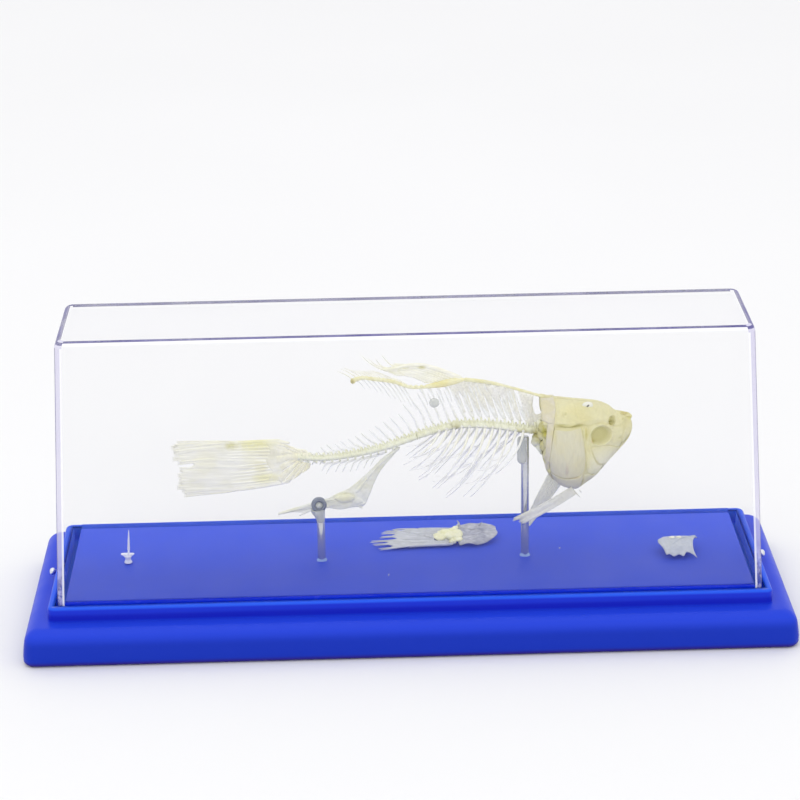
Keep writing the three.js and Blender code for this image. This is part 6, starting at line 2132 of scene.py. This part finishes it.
@dataclass
class Stand:
    """The moulded base with its panel, the rods, and what holds the fish on them."""

    length: float = 300.0
    depth: float = 100.0
    plinth_height: float = 15.0
    top_round: float = 5.0
    foot_round: float = 2.2
    corner: float = 4.6
    flare: float = 1.4
    rim_corner: float = 3.0
    rim_half: tuple[float, float] = (141.7, 40.8)
    rim_wall: float = 3.0
    rim_round: float = 1.2
    rim_shoulder: float = 19.6
    rim_lip: float = 20.3
    panel_half: tuple[float, float] = (135.0, 34.5)
    panel_top: float = 21.4
    rods: tuple[float, float] = (47.1, -34.8)
    rod_tops: tuple[float, float] = (73.0, 41.2)
    rod_sides: int = 28
    collar: Stops = ((2.15, 21.38), (2.1, 21.6), (1.9, 21.75), (1.72, 21.95), (1.64, 22.4),
                     (1.55, 22.5), (1.5, 21.5))
    sleeve: Stops = ((0.8, 61.9), (1.6, 61.8), (1.95, 62.3), (2.15, 63.2), (2.15, 66),
                     (2.05, 69.5), (2.0, 71.6), (1.8, 72.3), (1.5, 72.45), (0.8, 72.4))
    eye_radius: float = 2.2
    eye_height: float = 45.7
    screw_height: float = 18.2
    screw_sides: int = 24

    def build(self) -> None:
        """Builds the base, the rods and the screws."""
        self.plinth()
        self.panel()
        for word, x, top in zip(("front", "rear"), self.rods, self.rod_tops):
            self.rod(f"rod_{word}_shaft", f"rod_{word}", x, top)
        self.glue()
        self.screws()

    def plinth(self) -> None:
        """Builds the plinth with its rounded edge, the rim and the groove inside it."""
        half_x, half_y = self.length / 2, self.depth / 2
        rim_x, rim_y = self.rim_half
        wall = self.rim_wall

        def outer(drop: float, z: float) -> np.ndarray:
            """Ring of the plinth drawn in by a drop."""
            spread = self.flare * min(1.0, max(0.0, (14.0 - z) / 9.0))
            return rounded_ring(half_x + spread - drop, half_y - drop,
                                max(self.corner - 0.6 * drop, 0.3), z)

        def rim(drop: float, z: float) -> np.ndarray:
            """Ring of the rim drawn in by a drop."""
            return rounded_ring(rim_x - drop, rim_y - drop, max(self.rim_corner - drop, 0.25), z)

        turn = np.linspace(0, math.pi / 2, 12)
        skirt = [outer(self.foot_round * (1 - math.sin(a)), self.foot_round * (1 - math.cos(a)))
                 for a in turn[::2]]
        skirt += [outer(0.0, z) for z in (4.0, 7.0, 9.0)]
        skirt += [outer(self.top_round * (1 - math.cos(a)), 10 + self.top_round * math.sin(a))
                  for a in turn]
        skirt.append(rim(0, self.plinth_height))
        side = [rim(0, self.plinth_height), rim(0, 17.5)]
        side += [rim(self.rim_round * (1 - math.cos(a)),
                     self.rim_shoulder + self.rim_round * math.sin(a)) for a in turn]
        side += [rim(wall - 0.5 * math.sin(a), self.rim_lip + 0.5 * math.cos(a))
                 for a in turn[::-2]][::-1]
        groove = [rim(wall, self.rim_lip), rim(wall, self.plinth_height),
                  rim(wall, self.plinth_height), rim(wall + 20, self.plinth_height)]
        draft = Draft()
        draft.rings(np.array(skirt), False)
        draft.face(tuple(reversed(range(len(skirt[0])))))
        draft.rings(np.array(side), False)
        draft.rings(np.array(groove[:2]), False, 1)
        last = draft.count
        draft.rings(np.array(groove[2:]), False, 1)
        around = len(groove[0])
        draft.face(tuple(last + around + j for j in range(around)), 1)
        draft.made("moulded_plinth", [Makings.MOULDING, Makings.GROOVE], ("base_plinth",),
                   "blue_moulding")

    def panel(self) -> None:
        """Builds the panel with its softly rounded edge and the collars of the rods."""
        half_x, half_y = self.panel_half
        rings = [rounded_ring(half_x, half_y, 0.8, z) for z in (15.3, 18, 20.9)]
        for angle in np.linspace(0.2, math.pi / 2, 6):
            drop = 0.5 * (1 - math.cos(angle))
            rings.append(rounded_ring(half_x - drop, half_y - drop, 0.8,
                                      20.9 + 0.5 * math.sin(angle)))
        rings.append(rounded_ring(half_x - 12, half_y - 12, 0.8, self.panel_top))
        draft = Draft()
        draft.rings(np.array(rings[:3]), False, 1)
        draft.face(tuple(reversed(range(len(rings[0])))), 1)
        last = draft.count
        draft.rings(np.array(rings[2:]), False)
        inner = last + (len(rings) - 3) * len(rings[0])
        draft.face(tuple(inner + j for j in range(len(rings[0]))))
        draft.made("blue_panel_plate", [Makings.PANEL, Makings.PANEL_SIDE], ("base_panel",),
                   "blue_panel")
        collars = Draft()
        for x in self.rods:
            collars.lathe((x, FISH_Y), self.collar, self.rod_sides,
                          lambda angle, _, x=x: 1 + 0.05 * np.sin(3 * angle + x))
        collars.made("rod_glue_collars", [Makings.CLEAR_GLUE], ("base_panel",), "clear_glue")

    def rod(self, name: str, node: str, x: float, top: float) -> None:
        """Builds one rod with its ends turned over.

        Args:
            name: Name of the piece.
            node: Node that it stands for.
            x: Place along the base.
            top: Height of its top.
        """
        profile = ((1.2, 17.7), (1.6, 18.1), (1.6, 30), (1.6, 50), (1.6, top - 0.5),
                   (1.45, top - 0.15), (1.1, top), (0.4, top))
        draft = Draft()
        draft.lathe((x, FISH_Y), tuple(ring for ring in profile if ring[1] <= top), self.rod_sides)
        draft.made(name, [Makings.STEEL], (node,), "steel")

    def glue(self) -> None:
        """Builds the sleeve on the front rod, and the eye and glue on the rear one."""
        sleeve = Draft()
        x = self.rods[0] - 1.0
        sleeve.lathe((x, FISH_Y), self.sleeve, 32, lambda angle, z: (
            1 + 0.03 * np.sin(2 * angle + z) + 0.02 * np.sin(5 * angle)))
        sleeve.made("front_glue_sleeve", [Makings.GLUE], ("rod_front_sleeve",), "clear_glue")
        x = self.rods[1] - 0.5
        eye = Draft()
        turn = np.linspace(0, 2 * np.pi, 33)
        ring = [(x + self.eye_radius * math.sin(a), FISH_Y,
                 self.eye_height + self.eye_radius * math.cos(a)) for a in turn]
        eye.tube(ring, 0.95, 1.5, 48, 12, blunt=False)
        eye.made("rear_rod_eye", [Makings.BEAD], ("rod_rear_bead",), "clear_glue")
        heart = Draft()
        heart.lump((x, FISH_Y - 0.4, self.eye_height), (1.5, 1.7, 1.5), 0.06, 15)
        heart.tube([(x - 0.3, FISH_Y, 43.6), (x - 0.1, FISH_Y, 42.2), (x + 0.3, FISH_Y, 40.4),
                    (x + 0.5, FISH_Y, 38.4)], (2.7, 2.4, 1.9, 1.62), (2.2, 2.1, 1.85, 1.66), 20, 16,
                   blunt=False)
        heart.tube([(x - 2.5, FISH_Y, 44.4), (x - 2.6, FISH_Y, 42.8), (x - 1.9, FISH_Y, 40.8)],
                   (0.8, 0.6, 0.25), (0.7, 0.6, 0.3), 14, 8)
        heart.made("rear_glue_drip", [Makings.GLUE], ("rod_rear_bead",), "clear_glue")

    def screws(self) -> None:
        """Builds the domed screws at the ends of the rim."""
        for side in (-1, 1):
            word = "left" if side < 0 else "right"
            angle = np.arange(self.screw_sides) / self.screw_sides * 2 * np.pi
            rows = []
            for radius, x in ((0.5, 139.4), (0.8, 139.6), (0.8, 142.5), (1.15, 142.7),
                              (1.45, 143.1), (1.5, 143.6), (1.4, 144.1), (1.1, 144.45),
                              (0.7, 144.65), (0.5, 144.66), (0.42, 144.3)):
                rows.append(np.stack([
                    np.full(self.screw_sides, side * x), radius * np.cos(angle) * side,
                    self.screw_height + radius * np.sin(angle)], axis=-1))
            draft = Draft()
            draft.rings(np.array(rows))
            draft.made(f"case_screw_{word}_head", [Makings.SCREW], (f"case_screw_{word}",), "steel")


class Pane(Enum):
    """What a patch of the case's skin shows, by the number of its finish; all but the wall and the
    lid carry painted light, shade and refraction.
    """

    WALL = 0
    LID = 1
    LINE = 2
    PALE_LINE = 3
    CORNER = 4
    GLINT = 5
    DEEP_FOOT = 6
    BRIGHT_FOOT = 7


@dataclass
class Case:
    """The clear tapered case, one shell whose edges show painted refraction lines and painted
    glints, with painted shade and light at its foot.
    """

    half_foot: tuple[float, float] = (138.0, 37.5)
    half_top: tuple[float, float] = (134.0, 23.5)
    foot: float = 15.3
    skirt: float = 22.0
    top: float = 124.5
    wall: float = 2.0
    corner: float = 3.0
    edge_round: float = 2.4
    steps: int = 6
    bands: tuple[float, float, float] = (48.0, 80.0, 105.0)
    straight_rows: int = 5

    def rings(self, wall: float) -> np.ndarray:
        """Rings of the outer skin, or of the inner one where a wall is given.

        Args:
            wall: Distance in from the outer skin.

        Returns:
            The rings, from the foot up.
        """
        top = self.top - wall
        turn = self.edge_round - wall * 0.6
        corner = self.corner - wall * 0.6
        levels = [(z, 0.0) for z in (self.foot, self.skirt, *self.bands, top - turn)]
        levels += [(top - turn + turn * math.sin(a), turn * (1 - math.cos(a)))
                   for a in np.linspace(0, math.pi / 2, 10)[1:]]
        found = []
        for z, drop in levels:
            rise = max((z - self.skirt) / (self.top - self.skirt), 0.0)
            half_x, half_y = (foot + (above - foot) * rise - wall - drop
                              for foot, above in zip(self.half_foot, self.half_top))
            found.append(rounded_ring(half_x, half_y, max(corner - drop * 0.6, 0.5), z, self.steps))
        return np.array(found)

    def pane(self, row: int, column: int) -> Pane:
        """What one patch of the outer skin shows.

        Args:
            row: Number of its ring, from the foot.
            column: Its place round the case, from the middle of the head end.

        Returns:
            The kind of patch.
        """
        quarter, place = divmod(column, self.steps + 1)
        if row < self.straight_rows:
            return self._wall_pane(row, quarter, place)
        rounded = row - self.straight_rows
        # The rounded top edge carries painted refraction lines, and a painted white highlight along
        # the front.
        if place < self.steps:
            if 3 <= rounded <= 5:
                return Pane.LINE
            return Pane.CORNER if quarter > 1 else Pane.LID
        if quarter == 0:
            return Pane.PALE_LINE if rounded else Pane.WALL
        if quarter == 2:
            return (Pane.GLINT if rounded in (2, 3, 4) else
                    Pane.LINE if rounded in (5, 6, 7) else Pane.LID)
        return Pane.LINE if 1 <= rounded <= 6 else Pane.PALE_LINE

    def _wall_pane(self, row: int, quarter: int, place: int) -> Pane:
        """What a patch under the rounded edge shows.

        Args:
            row: Number of its ring, from the foot.
            quarter: Which side of the case it is on, 2 for the front.
            place: Its place in the corner before that side, or past it on the side itself.

        Returns:
            The kind of patch.
        """
        # The lowest row carries painted shade on the front and painted light on the back and ends;
        # the front corners carry painted refraction lines and a painted highlight.
        if place == self.steps:
            if row:
                return Pane.WALL
            return Pane.DEEP_FOOT if quarter == 2 else Pane.BRIGHT_FOOT
        if quarter < 2:
            return Pane.WALL
        inward = place if quarter == 2 else self.steps - 1 - place
        return Pane.LINE if inward < 2 else Pane.CORNER if inward < 5 else Pane.GLINT

    def build(self) -> None:
        """Builds the case."""
        draft = Draft()
        outer, inner = self.rings(0.0), self.rings(self.wall)[:, ::-1]
        rows, around = outer.shape[:2]
        for points, is_outer in ((outer, True), (inner, False)):
            first = draft.add(points)
            for i in range(rows - 1):
                for j in range(around):
                    k = (j + 1) % around
                    a, b = first + i * around, first + (i + 1) * around
                    pane = self.pane(i, j) if is_outer else Pane.WALL
                    draft.face((a + j, a + k, b + k, b + j), pane.value)
            last = first + (rows - 1) * around
            draft.face(tuple(last + j for j in range(around)), Pane.LID.value)
        start = rows * around
        for j in range(around):
            k = (j + 1) % around
            a, b = start + around - 1 - j, start + (around - 1 - k) % around
            draft.face((k, j, a, b), Pane.WALL.value)
        draft.made("clear_case", [Makings.WALL, Makings.LID, Makings.EDGE, Makings.PALE_EDGE,
                                  Makings.CORNER, Makings.GLINT, Makings.DEEP_FOOT,
                                  Makings.BRIGHT_FOOT], ("display_case",), "clear_plastic")


# ------------------------------------------------------------------------------------ studio


@dataclass(frozen=True)
class FloorFinish(Finish):
    """Plain pale floor."""

    name: str = "pale_floor"
    colour: Colour = (0.905, 0.905, 0.912, 1.0)

    def build(self, shader: Shader) -> bpy.types.Material:
        """Fills the node tree.

        Args:
            shader: The new node tree.

        Returns:
            Its material.
        """
        share = shader.spread(shader.noise(400, 2), 0.3, 0.7, 0.985, 1.0)
        shader.feed(shader.surface.inputs, {
            "Base Color": shader.blend(1.0, self.colour, shader.grey(share), "MULTIPLY"),
            "Roughness": 0.7, "Specular IOR Level": 0.2})
        return shader.material


@dataclass
class Studio:
    """Camera, floor and light."""

    eye: Point = (-20.2, -940.8, 455.2)
    yaw: float = 1.1
    pitch: float = 21.28
    roll: float = -1.02
    focal_pixels: float = 2558.6
    frame_pixels: float = 800.0
    sensor: float = 36.0
    world: float = 1.0

    def build(self) -> None:
        """Sets up the floor, the camera and the lights."""
        self.floor()
        self.camera()
        self.lights()

    def floor(self) -> None:
        """Lays the floor under the base."""
        mesh = bpy.data.meshes.new("floor")
        reach = 6.0
        mesh.from_pydata([(-reach, -reach, 0), (reach, -reach, 0), (reach, reach, 0),
                          (-reach, reach, 0)], [], [(0, 1, 2, 3)])
        mesh.materials.append(FloorFinish().material())
        floor = bpy.data.objects.new("floor", mesh)
        bpy.context.scene.collection.objects.link(floor)

    def camera(self) -> None:
        """Points the camera."""
        yaw, pitch, roll = (math.radians(a) for a in (self.yaw, self.pitch, self.roll))
        ahead = np.array([math.sin(yaw) * math.cos(pitch), math.cos(yaw) * math.cos(pitch),
                          -math.sin(pitch)])
        level = np.array([math.cos(yaw), -math.sin(yaw), 0.0])
        rise = np.cross(level, ahead)
        right = math.cos(roll) * level + math.sin(roll) * rise
        up = -math.sin(roll) * level + math.cos(roll) * rise
        camera = bpy.data.cameras.new("camera")
        camera.sensor_fit = "HORIZONTAL"
        camera.sensor_width = self.sensor
        camera.lens = self.focal_pixels / self.frame_pixels * self.sensor
        camera.clip_start, camera.clip_end = 0.05, 30.0
        seen = bpy.data.objects.new("camera", camera)
        self._aim(seen, right, up, ahead, [c * MM for c in self.eye])
        bpy.context.scene.camera = seen

    @staticmethod
    def _aim(thing: bpy.types.Object, right: np.ndarray, up: np.ndarray, ahead: np.ndarray,
             place: list | Point) -> None:
        """Puts a camera or a lamp in the scene.

        Args:
            thing: The camera or lamp.
            right: Its direction to the right.
            up: Its upward direction.
            ahead: Where it looks.
            place: Where it stands, in metres.
        """
        turn = np.stack([right, up, -ahead], axis=1)
        thing.matrix_world = Matrix([[*turn[i], place[i]] for i in range(3)] + [[0, 0, 0, 1]])
        bpy.context.scene.collection.objects.link(thing)

    def lights(self) -> None:
        """Sets a bright even surround and two large soft lamps."""
        world = bpy.data.worlds.new("surround")
        world.use_nodes = True
        back = world.node_tree.nodes["Background"]
        back.inputs["Color"].default_value = (0.985, 0.985, 0.992, 1.0)
        back.inputs["Strength"].default_value = self.world
        bpy.context.scene.world = world
        for name, place, aim, size, power in (
                ("overhead", (-0.3, -0.2, 1.5), (0, 0, 0), 1.6, 3.5),
                ("front_fill", (0.6, -1.6, 0.9), (0, 0, 0.05), 1.0, 1.2)):
            lamp = bpy.data.lights.new(name, "AREA")
            lamp.energy, lamp.size = power, size
            lamp.color = (1.0, 0.995, 0.985)
            made = bpy.data.objects.new(name, lamp)
            ahead = np.array(aim, float) - np.array(place)
            ahead /= np.linalg.norm(ahead)
            right = np.cross(ahead, (0, 0, 1.0))
            right /= np.linalg.norm(right)
            up = np.cross(right, ahead)
            self._aim(made, right, up, ahead, place)
        view = bpy.context.scene.view_settings
        view.view_transform = "Standard"
        view.look = "None"


def main() -> None:
    """Builds the specimen, its stand, its case and the studio."""
    logging.basicConfig(level=logging.INFO, format="%(name)s: %(message)s")
    Head().build()
    backbone = Backbone()
    backbone.build()
    DorsalFin(backbone).build()
    TailFin().build()
    AnalFin().build()
    PectoralFins().build()
    LooseBones().build()
    Stand().build()
    Case().build()
    Studio().build()


if __name__ == "__main__":
    main()
